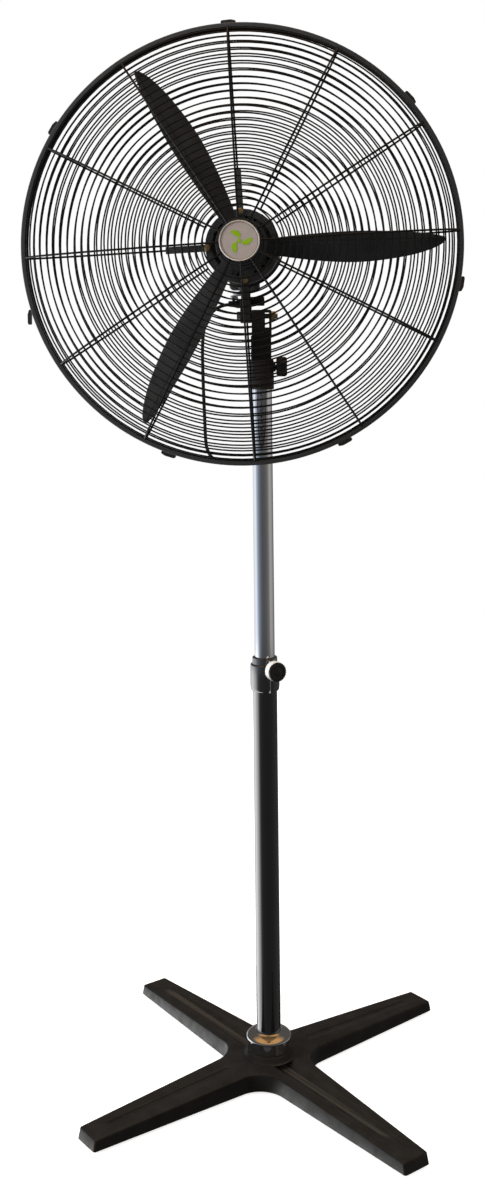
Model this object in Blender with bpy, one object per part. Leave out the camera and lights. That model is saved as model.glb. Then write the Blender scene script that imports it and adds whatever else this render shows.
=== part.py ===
"""Pedestal fan with a 750 mm blade: four-leg cast base, telescopic column, tilting and oscillating head.

Metres, +Z up. The fan blows towards -Y. The origin is on the floor below the fan's axis, level with the
column, so the column stands COLUMN_X to the right of it. Every piece is one object, parented to the empty
of the body that it moves with, and that empty stands on the body's joint axis.
"""

from math import asin, cos, hypot, pi, radians, sin, sqrt, tan

import bmesh
import bpy
from mathutils import Matrix, Vector

# Driving dimensions
GAP = 0.0003                # clearance between pieces that touch
COLUMN_X = 0.030            # the column stands this far to the right of the fan's axis
FAN_Z = 1.628               # height of the fan's axis
BLADE_TIP = 0.375           # a 750 mm fan
LEG_LENGTH = 0.420
LEG_ANGLE = radians(39)     # direction of the first leg, seen from above
OUTER_R, OUTER_WALL = 0.0238, 0.0019
INNER_R, INNER_WALL = 0.0199, 0.0018
OUTER_TOP = 0.806
COLLAR_TOP = 0.823
INNER_BOTTOM, INNER_TOP = 0.655, 1.400
NECK_BOTTOM = 1.3535
TILT_Z = 1.4985
GLAND_Z = 1.5235             # the mains lead enters the terminal block here
PIVOT_Z = 1.5535            # where the head rests on the tilt bracket
BAND_R, BAND_T = 0.4055, 0.0025
BAND_Y = (-0.219, -0.183)
GUARD_R = 0.3985            # radius of both guards' outer rings
WIRE = 0.0034
FRONT_RIM_Y, FRONT_DEPTH = -0.2134, 0.084
REAR_RIM_Y, REAR_DEPTH = -0.1886, 0.030
FRONT_RINGS = (0.030, 0.0655, 0.135, 0.205, 0.275, 0.340, GUARD_R)
REAR_RINGS = (0.0765, 0.135, 0.205, 0.275, 0.340, GUARD_R)
SPOKES = 12
SPOKE_START = radians(3)
BLADE_Y = -0.201
BLADE_ANGLES = (1, 121, 241)
BLADE_WIDTHS = (              # radius, and the width seen from the front
    (0.047, 0.0260), (0.080, 0.0360), (0.114, 0.0440), (0.160, 0.0520), (0.210, 0.0560),
    (0.250, 0.0535), (0.284, 0.0480), (0.320, 0.0390), (0.354, 0.0240),
)
HUB_R = 0.0474
MOTOR_R = 0.070
SHIELD_FRONT, SHIELD_BACK = -0.160, -0.118
REAR_SHIELD_FRONT, REAR_SHIELD_BACK = -0.048, 0.035
SHAFT_R = 0.006
SCREW_CIRCLE = 0.065
CRANK_X, CRANK_Y = -0.012, 0.066
CRANK_THROW = 0.012
ANCHOR_X = CRANK_X - CRANK_THROW
CLIP_ANGLES = (40.5, 93.0, 147.8, 198.6, 250.4, 297.3, 349.3)
CLIP_LENGTH = 0.025
OPEN_CLIP, OPEN_ANGLE = 4, radians(20)
KNOB_ANGLE = radians(-60)   # direction of the height knob, seen from above
KNOB_Z = 0.8025
NECK_KNOB_Z = 1.398
CORD_R = 0.0035

# Joint positions: one empty for each body
COLUMN = (COLUMN_X, 0, 0)
BODY_PLACES = {
    "stand": COLUMN,
    "mast": COLUMN,
    "neck": (0, 0, TILT_Z),
    "head": (0, 0, PIVOT_Z),
    "rotor": (0, 0, FAN_Z),
    "crank": (CRANK_X, CRANK_Y, FAN_Z),
    "link": (CRANK_X - CRANK_THROW, CRANK_Y, FAN_Z),
    "osc_knob": (CRANK_X, CRANK_Y, FAN_Z),
    "speed_knob": (-0.004, 0.133, 1.615),
    "height_knob": (COLUMN_X, 0, KNOB_Z),
    "neck_knob": (COLUMN_X, 0, NECK_KNOB_Z),
}
BODY_PARENTS = {
    "mast": "stand",
    "neck": "mast",
    "head": "neck",
    "rotor": "head",
    "crank": "head",
    "link": "crank",
    "osc_knob": "head",
    "speed_knob": "head",
    "height_knob": "stand",
    "neck_knob": "mast",
}

MATERIALS = {
    "black_cast": ((0.020, 0.020, 0.021), 0.55, 0.0),
    "black_paint": ((0.012, 0.012, 0.013), 0.35, 0.0),
    "black_plastic": ((0.015, 0.015, 0.016), 0.45, 0.0),
    "blade_plastic": ((0.030, 0.031, 0.032), 0.50, 0.0),
    "chrome": ((0.80, 0.80, 0.82), 0.12, 1.0),
    "steel": ((0.55, 0.55, 0.56), 0.35, 1.0),
    "lamination": ((0.30, 0.30, 0.31), 0.50, 0.8),
    "brass": ((0.66, 0.48, 0.22), 0.30, 1.0),
    "badge_metal": ((0.66, 0.63, 0.62), 0.35, 0.5),
    "rubber": ((0.02, 0.02, 0.02), 0.80, 0.0),
    "cord_rubber": ((0.015, 0.015, 0.015), 0.60, 0.0),
}

X_AXIS, Y_AXIS, Z_AXIS = Vector((1, 0, 0)), Vector((0, 1, 0)), Vector((0, 0, 1))


def clear_scene():
    for obj in list(bpy.data.objects):
        bpy.data.objects.remove(obj, do_unlink=True)


def make_material(name):
    colour, roughness, metallic = MATERIALS[name]
    mat = bpy.data.materials.new(name)
    mat.use_nodes = True
    shader = mat.node_tree.nodes["Principled BSDF"]
    shader.inputs["Base Color"].default_value = (*colour, 1)
    shader.inputs["Roughness"].default_value = roughness
    shader.inputs["Metallic"].default_value = metallic
    return mat


def make_body(name):
    """The empty of a body, on its joint axis."""
    empty = bpy.data.objects.new(name + "_axis", None)
    bpy.context.scene.collection.objects.link(empty)
    place = Vector(BODY_PLACES[name])
    parent = BODY_PARENTS.get(name)
    if parent:
        empty.parent = bodies[parent]
        place = place - Vector(BODY_PLACES[parent])
    empty.location = place
    return empty


# Mesh builders. Each returns a bmesh in the part's own frame.

def turned(profile, centre=(0, 0, 0), axis=Z_AXIS, segments=24, ring=False):
    """Turns (radius, height) points round an axis. A ring's profile is a closed loop."""
    bm = bmesh.new()
    rows = []
    for radius, height in profile:
        if radius == 0:
            rows.append([bm.verts.new((0, 0, height))] * segments)
        else:
            steps = (2 * pi * i / segments for i in range(segments))
            rows.append([bm.verts.new((radius * cos(a), radius * sin(a), height)) for a in steps])
    pairs = list(zip(rows, rows[1:]))
    if ring:
        pairs.append((rows[-1], rows[0]))
    for low, high in pairs:
        for i in range(segments):
            j = (i + 1) % segments
            corners = list(dict.fromkeys((low[i], low[j], high[j], high[i])))
            if len(corners) > 2:
                bm.faces.new(corners)
    bmesh.ops.recalc_face_normals(bm, faces=bm.faces)
    turn = Z_AXIS.rotation_difference(Vector(axis)).to_matrix().to_4x4()
    bmesh.ops.transform(bm, matrix=Matrix.Translation(centre) @ turn, verts=bm.verts)
    return bm


def cylinder(radius, low, high, centre=(0, 0, 0), axis=Z_AXIS, segments=24, edge=0.0):
    """A plain or edge-broken solid cylinder between two heights along its axis."""
    if edge:
        profile = [(0, low), (radius - edge, low), (radius, low + edge),
                   (radius, high - edge), (radius - edge, high), (0, high)]
    else:
        profile = [(0, low), (radius, low), (radius, high), (0, high)]
    return turned(profile, centre, axis, segments)


def sleeve(inner, outer, low, high, centre=(0, 0, 0), axis=Z_AXIS, segments=24):
    profile = [(inner, low), (outer, low), (outer, high), (inner, high)]
    return turned(profile, centre, axis, segments, ring=True)


def loft(loops, level_caps=True):
    """Joins closed loops with the same number of points, and caps the first and last."""
    bm = bmesh.new()
    rows = [[bm.verts.new(point) for point in loop] for loop in loops]
    count = len(rows[0])
    for low, high in zip(rows, rows[1:]):
        for i in range(count):
            j = (i + 1) % count
            bm.faces.new((low[i], low[j], high[j], high[i]))
    caps = [bm.faces.new(rows[0]), bm.faces.new(rows[-1])]
    if not level_caps:
        bm.normal_update()
        bmesh.ops.triangulate(bm, faces=caps, ngon_method="EAR_CLIP")
    bmesh.ops.recalc_face_normals(bm, faces=bm.faces)
    return bm


def block(low, high, edge=0.0):
    """A box between two corners, with its edges broken if edge is given."""
    (x0, y0, z0), (x1, y1, z1) = low, high
    corners = ((x0, y0), (x1, y0), (x1, y1), (x0, y1))
    bm = loft([[(x, y, z) for x, y in corners] for z in (z0, z1)])
    if edge:
        bmesh.ops.bevel(bm, geom=bm.edges[:], offset=edge, segments=2, affect="EDGES", profile=0.5)
    return bm


def move(bm, matrix):
    bmesh.ops.transform(bm, matrix=matrix, verts=bm.verts)
    return bm


def about(centre, angle, axis):
    """A turn by angle about an axis through centre."""
    there = Matrix.Translation(centre)
    return there @ Matrix.Rotation(angle, 4, axis) @ there.inverted()


# Object helpers

def new_object(name, bm, place):
    mesh = bpy.data.meshes.new(name)
    bmesh.ops.translate(bm, vec=-Vector(place), verts=bm.verts)
    bm.to_mesh(mesh)
    bm.free()
    obj = bpy.data.objects.new(name, mesh)
    bpy.context.scene.collection.objects.link(obj)
    return obj


def piece(name, body, material, bm, sharp=35):
    """A named piece: its origin is on its body's axis."""
    obj = new_object(name, bm, BODY_PLACES[body])
    obj.parent = bodies[body]
    obj.data.materials.append(materials[material])
    obj.data.shade_smooth()
    obj.data.set_sharp_from_angle(angle=radians(sharp))
    return obj


def helper(name, bm, obj):
    """A hidden solid beside obj, for a Boolean."""
    tool = new_object(name, bm, (0, 0, 0))
    tool.hide_render = True
    tool.display_type = "WIRE"
    return tool


def cut(obj, *solids):
    boolean(obj, "DIFFERENCE", solids)


def join(obj, *solids):
    boolean(obj, "UNION", solids)


def boolean(obj, operation, solids):
    for bm in solids:
        count = len(obj.modifiers) + 1
        modifier = obj.modifiers.new(f"{operation.lower()}_{count}", "BOOLEAN")
        modifier.operation = operation
        modifier.solver = "EXACT"
        modifier.object = helper(f"{obj.name}_tool_{count}", bm, obj)


# Base and column

def leg_outline(inset, end_inset=0.0):
    """The cross seen from above, as points round the column, drawn in by inset. The ends are drawn in further."""
    tip_half, root_half = 0.030 - inset, 0.044 - inset
    corner, fillet = max(0.0055 - inset, 0.0025), 0.055 + inset
    end = LEG_LENGTH - inset - end_inset
    points = []
    for leg in range(4):
        turn = Matrix.Rotation(LEG_ANGLE + leg * pi / 2, 2)
        local = []
        for side in (-1, 1):
            for step in range(4):
                angle = side * radians(90 - 30 * step) if side < 0 else radians(30 * step)
                local.append((end - corner + corner * cos(angle),
                              side * (tip_half - corner) + corner * sin(angle)))
        middle = root_half + fillet
        for step in range(7):
            angle = radians(-90 - 15 * step)
            local.append((middle + fillet * cos(angle), middle + fillet * sin(angle)))
        points += [turn @ Vector(point) for point in local]
    return points


def leg_height(point):
    """Height of a leg's side at a point: it falls from the hub to the tip."""
    along = min(max((hypot(*point) - 0.075) / (LEG_LENGTH - 0.075), 0), 1)
    return 0.0345 - 0.0130 * along


def leg_groove(number):
    """The solid that cuts the long shallow groove down the middle of a leg's top."""
    near, far, half = 0.095, 0.370, 0.0065
    turn = Matrix.Rotation(LEG_ANGLE + number * pi / 2, 4, "Z")
    ends = [(centre + half * cos(angle + step * pi / 4), half * sin(angle + step * pi / 4))
            for centre, angle in ((near + half, pi / 2), (far - half, -pi / 2)) for step in range(5)]
    loops = []
    for rise in (0.0017, 0.0200):
        points = [turn @ Vector((x, y, 0)) for x, y in ends]
        loops.append([(COLUMN_X + p.x, p.y, leg_height(Vector((x, 0))) + rise) for p, (x, y) in zip(points, ends)])
    return loft(loops, level_caps=False)


def build_base():
    def loop(inset, rise=None, level=0.0, end_inset=0.0):
        """One outline at its side's height plus rise, or at a level height."""
        return [(COLUMN_X + p.x, p.y, level if rise is None else leg_height(p) + rise)
                for p in leg_outline(inset, end_inset)]

    floor, wall = 0.005, 0.006
    casting = piece("base_casting", "stand", "black_cast", loft([
        loop(wall + 0.001, rise=-0.0045), loop(wall, level=floor),
        loop(0, level=floor), loop(0.0012, rise=0, end_inset=0.0028), loop(0.0021, rise=0.0024, end_inset=0.0030),
        loop(0.0045, rise=0.0035, end_inset=0.0030),
    ], level_caps=False))
    join(casting, turned([(0, 0.014), (0.032, 0.014), (0.032, 0.031), (0.0500, 0.0355),
                          (0.0470, 0.0400), (0.0430, 0.0465), (0.0418, 0.0481), (0, 0.0481)], COLUMN))
    cut(casting, turned([(0, 0.010), (0.0054, 0.010), (0.0054, 0.022), (OUTER_R + GAP, 0.022),
                         (OUTER_R + GAP, 0.060), (0, 0.060)], COLUMN), *(leg_groove(number) for number in range(4)))
    for number in range(4):
        angle = LEG_ANGLE + number * pi / 2
        seat = Vector((COLUMN_X, 0, 0)) + 0.395 * Vector((cos(angle), sin(angle), 0))
        piece(f"foot_pad_{number + 1}", "stand", "rubber",
              turned([(0, 0), (0.014, 0), (0.015, 0.002), (0.015, 0.017), (0, 0.017)], seat, segments=24))

    skirt = [(0.0398, 0.0485), (0.0405, 0.0494), (0.0405, 0.0690)]
    dome = [(0.0425, 0.0695), (0.0441, 0.0708), (0.0446, 0.0726), (0.0440, 0.0746), (0.0405, 0.0778),
            (0.0340, 0.0806), (0.0275, 0.0822), (0.0258, 0.0838), (0.0241, 0.0840)]
    hollow = [(0.0241, 0.0806), (0.0335, 0.0788), (0.0374, 0.0762), (0.0378, 0.0485)]
    piece("base_trim_ring", "stand", "chrome", turned(skirt + dome + hollow, COLUMN, segments=24, ring=True))

    tube_bottom, plate = 0.0223, 0.006
    bore = OUTER_R - OUTER_WALL
    tube = piece("outer_tube", "stand", "black_paint", turned(
        [(0.0054, tube_bottom), (OUTER_R, tube_bottom), (OUTER_R, OUTER_TOP), (bore, OUTER_TOP),
         (bore, tube_bottom + plate), (0.0054, tube_bottom + plate)], COLUMN, ring=True))
    cut(tube, knob_hole())
    bolt = piece("base_bolt", "stand", "steel", turned(
        [(0, 0.0064), (0.0095, 0.0064), (0.0105, 0.0074), (0.0105, 0.0137), (0.0050, 0.0137),
         (0.0050, 0.0340), (0, 0.0340)], COLUMN, segments=24))
    cut(bolt, cylinder(0.0042, 0.0020, 0.0100, COLUMN, segments=6))


def knob_direction():
    return Vector((cos(KNOB_ANGLE), sin(KNOB_ANGLE), 0))


def knob_hole():
    """The hole that the height knob's stud passes through, from inside the tube outwards."""
    return cylinder(0.0045, 0.0150, 0.050, (COLUMN_X, 0, KNOB_Z), knob_direction(), segments=20)


def build_collar():
    band, shoulder, bottom = 0.0246, 0.0096 + 0.800, 0.757
    collar = piece("height_collar", "stand", "black_plastic", turned(
        [(OUTER_R + GAP, bottom), (0.0262, bottom), (0.0280, 0.7600), (0.0285, shoulder - 0.0015),
         (0.0272, shoulder), (band, shoulder + 0.001), (band, COLLAR_TOP - 0.001), (band - 0.001, COLLAR_TOP),
         (INNER_R + GAP, COLLAR_TOP), (INNER_R + GAP, OUTER_TOP + GAP), (OUTER_R + GAP, OUTER_TOP + GAP)],
        COLUMN, segments=24, ring=True))
    turn = about(COLUMN, KNOB_ANGLE, "Z")
    rib = move(block((COLUMN_X + 0.0262, -0.006, 0.757), (COLUMN_X + 0.0325, 0.006, 0.822), 0.0012), turn)
    boss = cylinder(0.0105, 0.0265, 0.0338, (COLUMN_X, 0, KNOB_Z), knob_direction(), segments=24)
    join(collar, rib, boss)
    cut(collar, knob_hole())
    bush = piece("collar_bush", "stand", "black_plastic", sleeve(
        INNER_R + GAP, OUTER_R - OUTER_WALL - GAP, 0.775, OUTER_TOP - 0.0005, COLUMN))
    cut(bush, knob_hole())
    piece("knob_spacer", "stand", "chrome", turned(
        [(0.0044, 0.0342), (0.0180, 0.0342), (0.0190, 0.0352), (0.0190, 0.0478), (0.0180, 0.0487),
         (0.0044, 0.0487)], (COLUMN_X, 0, KNOB_Z), knob_direction(), segments=32, ring=True))
    piece("height_knob", "height_knob", "black_plastic", turned(
        [(0, INNER_R + GAP), (0.0040, INNER_R + GAP), (0.0040, 0.0490), (0.0180, 0.0490), (0.0190, 0.0498),
         (0.0190, 0.0526), (0.0172, 0.0541), (0, 0.0547)],
        (COLUMN_X, 0, KNOB_Z), knob_direction(), segments=32))


def build_mast():
    bore = INNER_R - INNER_WALL
    piece("inner_tube", "mast", "chrome", sleeve(bore, INNER_R, INNER_BOTTOM, INNER_TOP, COLUMN, segments=32))
    piece("tube_glide", "mast", "black_plastic", sleeve(
        INNER_R + GAP, OUTER_R - OUTER_WALL - GAP, INNER_BOTTOM + 0.002, INNER_BOTTOM + 0.032, COLUMN))

    sleeve_top, neck_top, yoke_top = 1.412, 1.461, 1.511
    yoke = piece("neck_yoke", "mast", "black_cast", turned(
        [(INNER_R + GAP, NECK_BOTTOM), (0.0230, NECK_BOTTOM), (0.0242, NECK_BOTTOM + 0.0015),
         (0.0242, sleeve_top - 0.002), (0.0225, sleeve_top), (0, sleeve_top), (0, INNER_TOP + GAP),
         (INNER_R + GAP, INNER_TOP + GAP)], COLUMN, segments=24, ring=True))
    left, right = COLUMN_X - 0.0185, COLUMN_X + 0.0205
    neck = block((COLUMN_X - 0.0205, -0.0185, sleeve_top - 0.004), (COLUMN_X + 0.0195, 0.0185, neck_top), 0.003)
    head = block((left, -0.0190, neck_top - 0.004), (right, 0.0190, yoke_top), 0.002)
    boss = cylinder(0.0100, 0.0215, 0.0278, (COLUMN_X, 0, NECK_KNOB_Z), X_AXIS, segments=24)
    join(yoke, neck, head, boss)
    fork = block((COLUMN_X + 0.0075, -0.030, 1.476), (COLUMN_X + 0.0160, 0.030, 1.5055))
    stud_hole = cylinder(0.0045, 0.0150, 0.040, (COLUMN_X, 0, NECK_KNOB_Z), X_AXIS, segments=20)
    cut(yoke, fork, stud_hole, tilt_hole())
    lobes = lobed_knob(0.0200, 0.0172, 0.0290, 0.0506, (COLUMN_X, 0, NECK_KNOB_Z))
    knob = piece("neck_knob", "neck_knob", "black_plastic", lobes)
    join(knob, cylinder(0.0040, INNER_R + GAP, 0.0300, (COLUMN_X, 0, NECK_KNOB_Z), X_AXIS, segments=20))

    hexagon = dict(axis=X_AXIS, segments=6)
    place = (0, 0, TILT_Z)
    bolt = piece("tilt_bolt", "mast", "steel", cylinder(0.0095, -0.0180, -0.0113, place, **hexagon))
    join(bolt, cylinder(0.0050, -0.0120, right + 0.0125, place, X_AXIS, segments=20))
    piece("tilt_nut", "mast", "brass", sleeve(0.0061, 0.0095, right + GAP, right + 0.0083, place, **hexagon))

    clip = piece("cord_clip", "mast", "black_plastic", block(
        (COLUMN_X - 0.0070, INNER_R + GAP, 1.1660), (COLUMN_X + 0.0070, 0.0330, 1.1780), 0.0008))
    cut(clip, cylinder(CORD_R + 0.0004, 1.160, 1.185, (COLUMN_X, CLIP_Y, 0), segments=16))


def tilt_hole():
    return cylinder(0.0055, -0.020, 0.060, (0, 0, TILT_Z), X_AXIS, segments=20)


def lobed_knob(outer, inner, low, high, centre, lobes=7):
    """A hand knob with rounded lobes, along +X."""
    loops = []
    for at, scale in ((low, 0.72), (low + 0.0020, 0.94), (low + 0.0050, 1.0), (high - 0.0035, 1.0), (high, 0.84)):
        loop = []
        for step in range(6 * lobes):
            angle = 2 * pi * step / (6 * lobes)
            radius = scale * ((outer + inner) / 2 + (outer - inner) / 2 * cos(lobes * angle))
            loop.append((at, radius * cos(angle), radius * sin(angle)))
        loops.append(loop)
    return move(loft(loops), Matrix.Translation(centre))


# Neck: what tilts

def build_neck():
    half_x, half_y, low, shoulder = 0.0110, 0.0160, 1.4850, 1.5300
    bracket = piece("tilt_bracket", "neck", "black_cast", block(
        (-half_x, -half_y, low), (half_x, half_y, shoulder), 0.0020))
    post = cylinder(0.0095, shoulder - 0.004, PIVOT_Z - 0.0005, segments=24)
    link_arm = block((-0.0345, -0.0070, 1.5200), (-half_x + 0.004, 0.0070, 1.5292), 0.0015)
    stop_arm = block((half_x - 0.004, -0.0060, 1.5190), (0.0370, 0.0060, 1.5370), 0.0015)
    terminals = block((-half_x + 0.001, half_y - 0.004, 1.5140), (half_x - 0.001, 0.0620, 1.5328), 0.0015)
    anchor = cylinder(0.0030, 1.5280, 1.5350, (ANCHOR_X, 0, 0), segments=20)
    join(bracket, post, link_arm, stop_arm, terminals, anchor)
    gland_seat = cylinder(0.0081, -0.0110, -0.0060, (0, 0.050, GLAND_Z), X_AXIS, segments=24)
    cut(bracket, tilt_hole(), cylinder(0.0063, shoulder, 1.560, segments=24), gland_seat)
    piece("pivot_pin", "neck", "steel", cylinder(0.0060, shoulder + GAP, 1.5800, segments=24, edge=0.0008))
    piece("cord_gland", "neck", "black_plastic", turned(
        [(CORD_R + 0.0004, -0.0340), (0.0048, -0.0340), (0.0060, -0.0250), (0.0078, -0.0190), (0.0078, -0.0063),
         (CORD_R + 0.0004, -0.0063)], (0, 0.050, GLAND_Z), X_AXIS, segments=24, ring=True))


def soften(obj, width):
    """Rounds the edges of a block, before it is cut."""
    bevel = obj.modifiers.new("bevel", "BEVEL")
    bevel.width = width
    bevel.segments = 3
    bevel.limit_method = "ANGLE"


# Head: motor, gearbox and guards

def round_the_fan(radius, height, angle):
    """A point at a radius, a distance along -Y and an angle round the fan's axis."""
    return Vector((radius * cos(angle), height, FAN_Z + radius * sin(angle)))


def build_motor():
    axis = dict(centre=(0, 0, FAN_Z), axis=Y_AXIS)
    front, back = SHIELD_FRONT, SHIELD_BACK
    shield = piece("motor_front_shield", "head", "black_paint", turned(
        [(0.0080, front + 0.002), (0.0200, front), (0.0600, front), (0.0670, front + 0.0015),
         (MOTOR_R, front + 0.006), (MOTOR_R, back), (0.0620, back), (0.0620, front + 0.0070),
         (0.0225, front + 0.0070), (0.0225, front + 0.0180), (0.0164, front + 0.0180),
         (0.0164, front + 0.0050), (0.0080, front + 0.0050)], segments=32, ring=True, **axis))
    slots = []
    for number in range(8):
        slot = block((0.0290, front - 0.010, -0.0030), (0.0500, front + 0.012, 0.0030))
        turn = Matrix.Translation((0, 0, FAN_Z)) @ Matrix.Rotation(radians(25 + 45 * number), 4, "Y")
        slots.append(move(slot, turn))
    holes = [cylinder(0.0030, front - 0.010, front + 0.012, round_the_fan(SCREW_CIRCLE - 0.0005, 0, a), Y_AXIS, 14)
             for a in screw_angles()]
    cut(shield, *slots, *holes)
    piece("front_bearing", "head", "steel", sleeve(SHAFT_R + GAP, 0.0161, front + 0.0054, front + 0.0170, **axis))
    piece("stator_core", "head", "lamination", sleeve(
        0.0365, 0.0685, back + GAP, REAR_SHIELD_FRONT - GAP, segments=32, **axis))

    low, high = REAR_SHIELD_FRONT, REAR_SHIELD_BACK
    rear = piece("motor_rear_shield", "head", "black_paint", turned(
        [(0.0075, -0.0045), (0.0164, -0.0045), (0.0164, -0.0190), (0.0600, -0.0190), (0.0620, low), (MOTOR_R, low),
         (MOTOR_R, 0.0150), (0.0620, 0.0300), (0.0450, high), (0.0075, high)], segments=32, ring=True, **axis))
    boss = turned([(0, PIVOT_Z), (0.0140, PIVOT_Z), (0.0150, 1.5600), (0.0170, 1.5750), (0, 1.5750)], segments=24)
    join(rear, boss)
    cut(rear, cylinder(0.0086, 1.540, 1.5830, segments=24))
    piece("pivot_bush", "head", "brass", sleeve(0.0063, 0.0083, PIVOT_Z + 0.0005, 1.5800, segments=24))
    piece("rear_bearing", "head", "steel", sleeve(SHAFT_R + GAP, 0.0161, -0.0170, -0.0048, **axis))
    build_gearbox()


def build_gearbox():
    back = REAR_SHIELD_BACK + GAP
    box = piece("gearbox_housing", "head", "black_paint", block(
        (-0.0340, back, 1.5530), (0.0260, 0.1050, 1.6680)))
    soften(box, 0.0060)
    cavity = block((-0.0290, back + 0.006, 1.5600), (0.0210, 0.0990, 1.6600))
    shaft_way = cylinder(0.0085, 0.020, 0.050, (0, 0, FAN_Z), Y_AXIS, 24)
    crank_way = cylinder(0.0046, 1.540, 1.570, (CRANK_X, CRANK_Y, 0), segments=20)
    knob_way = cylinder(0.0038, 1.650, 1.680, (CRANK_X, CRANK_Y, 0), segments=20)
    cut(box, cavity, shaft_way, crank_way, knob_way)

    switches = piece("switch_box", "head", "black_plastic", block(
        (-0.0340, 0.1053, 1.5750), (0.0260, 0.1330, 1.6550)))
    soften(switches, 0.0040)
    spindle_way = cylinder(0.0032, -0.010, 0.010, BODY_PLACES["speed_knob"], Y_AXIS, 20)
    cut(switches, block((-0.0315, 0.1078, 1.5775), (0.0235, 0.1300, 1.6525)), spindle_way)
    piece("speed_knob", "speed_knob", "black_plastic", turned(
        [(0, -0.0060), (0.0028, -0.0060), (0.0028, 0.0004), (0.0150, 0.0004), (0.0155, 0.0015), (0.0145, 0.0040),
         (0.0095, 0.0055), (0.0085, 0.0150), (0.0070, 0.0160), (0, 0.0160)],
        BODY_PLACES["speed_knob"], Y_AXIS, segments=24))

    place = (CRANK_X, CRANK_Y, 0)
    crank = piece("crank_shaft", "crank", "steel", turned(
        [(0, 1.5410), (0.0165, 1.5410), (0.0165, 1.5460), (0.0080, 1.5460), (0.0080, 1.5500), (0.0042, 1.5500),
         (0.0042, 1.6200), (0.0074, 1.6200), (0.0074, 1.6360), (0.0042, 1.6360), (0.0042, 1.6400), (0, 1.6400)],
        place, segments=24))
    join(crank, cylinder(0.0030, 1.5335, 1.5430, (CRANK_X - CRANK_THROW, CRANK_Y, 0), segments=20))
    build_link()
    piece("oscillation_knob", "osc_knob", "black_plastic", turned(
        [(0, 1.6440), (0.0034, 1.6440), (0.0034, 1.6720), (0.0090, 1.6720), (0.0075, 1.6780), (0.0075, 1.6840),
         (0.0105, 1.6900), (0.0105, 1.6960), (0.0080, 1.6990), (0, 1.7000)], place, segments=24))


def build_link():
    """A flat link with an eye at each end. The crank's pin turns in the rear eye, and the front eye hangs
    just above the anchor pin of the tilt bracket."""
    eye, half, low, high = 0.0065, 0.0035, 1.5355, 1.5400
    bend = asin(half / eye)
    points = []
    for y, start in ((0.0, pi / 2 + bend), (CRANK_Y, -pi / 2 + bend)):
        for step in range(17):
            angle = start + step * (2 * pi - 2 * bend) / 16
            points.append((ANCHOR_X + eye * cos(angle), y + eye * sin(angle)))
    link = piece("link_rod", "link", "steel", loft([[(x, y, z) for x, y in points] for z in (low, high)]))
    cut(link, *(cylinder(0.0034, low - 0.01, high + 0.01, (ANCHOR_X, y, 0), segments=20) for y in (0, CRANK_Y)))


def screw_angles():
    return [radians(93 + 90 * number) for number in range(4)]


def dome(radius, rim_y, depth):
    """Where a guard's surface is at a radius: an elliptical dome behind or in front of its rim."""
    return rim_y + depth * sqrt(max(0.0, 1 - (radius / GUARD_R) ** 2))


def guard_mesh(rings, rim_y, depth):
    """A net of rings and spokes: the wireframe modifier turns its edges into wires."""
    bm = bmesh.new()
    rows = []
    for radius in rings:
        y = dome(radius, rim_y, depth)
        rows.append([bm.verts.new(round_the_fan(radius, y, SPOKE_START + pi * i / SPOKES))
                     for i in range(2 * SPOKES)])
    for low, high in zip(rows, rows[1:]):
        for spoke in range(SPOKES):
            a, b, c = 2 * spoke, 2 * spoke + 1, (2 * spoke + 2) % (2 * SPOKES)
            bm.faces.new((low[a], low[b], low[c], high[c], high[b], high[a]))
    return bm


def build_guards():
    for name, rings, rim_y, depth in (
        ("rear_guard", REAR_RINGS, REAR_RIM_Y, REAR_DEPTH),
        ("front_guard", FRONT_RINGS, FRONT_RIM_Y, -FRONT_DEPTH),
    ):
        guard = piece(name, "head", "black_paint", guard_mesh(rings, rim_y, depth))
        wires = guard.modifiers.new("wires", "WIREFRAME")
        wires.thickness = WIRE
        wires.use_boundary = True
        wires.use_even_offset = False
    axis = dict(centre=(0, 0, FAN_Z), axis=Y_AXIS)
    front, back, lip = BAND_Y[0], BAND_Y[1], 0.3970
    piece("guard_band", "head", "black_paint", turned(
        [(lip, front), (BAND_R, front), (BAND_R, back), (lip, back), (lip, back - 0.0018),
         (BAND_R - BAND_T, back - 0.0018), (BAND_R - BAND_T, front + 0.0018), (lip, front + 0.0018)],
        segments=60, ring=True, **axis))

    low, high = -0.1650, -0.1630
    spider = piece("guard_spider", "head", "black_paint", sleeve(0.0570, 0.0695, low, high, segments=32, **axis))
    for angle in screw_angles():
        arm = block((0.0620, low + 0.0001, -0.0066), (0.1435, high - 0.0001, 0.0066))
        join(spider, move(arm, Matrix.Translation((0, 0, FAN_Z)) @ Matrix.Rotation(-angle, 4, "Y")))
    for angle in screw_angles():
        cut(spider, cylinder(0.0032, low - 0.010, high + 0.010, round_the_fan(SCREW_CIRCLE - 0.0005, 0, angle),
                             Y_AXIS, 14))
    for number, angle in enumerate(screw_angles()):
        screw = piece(f"guard_screw_{number + 1}", "head", "brass", turned(
            [(0, -0.1705), (0.0035, -0.1702), (0.0062, -0.1688), (0.0070, -0.1668), (0.0070, -0.1653),
             (0.0026, -0.1653), (0.0026, -0.1500), (0, -0.1500)],
            round_the_fan(SCREW_CIRCLE - 0.0005, 0, angle), Y_AXIS, segments=20))
        slot = block((-0.009, -0.174, -0.0007), (0.009, -0.1690, 0.0007))
        centre = round_the_fan(SCREW_CIRCLE - 0.0005, 0, angle)
        turn = Matrix.Translation(centre) @ Matrix.Rotation(radians(35 + 50 * number), 4, "Y")
        cut(screw, move(slot, turn))

    piece("badge", "head", "badge_metal", turned(
        [(0, -0.3005), (0.0340, -0.3005), (0.0355, -0.3018), (0.0355, -0.3045), (0.0340, -0.3055),
         (0.0318, -0.3052), (0.0308, -0.3040), (0, -0.3040)], segments=32, **axis))


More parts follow.
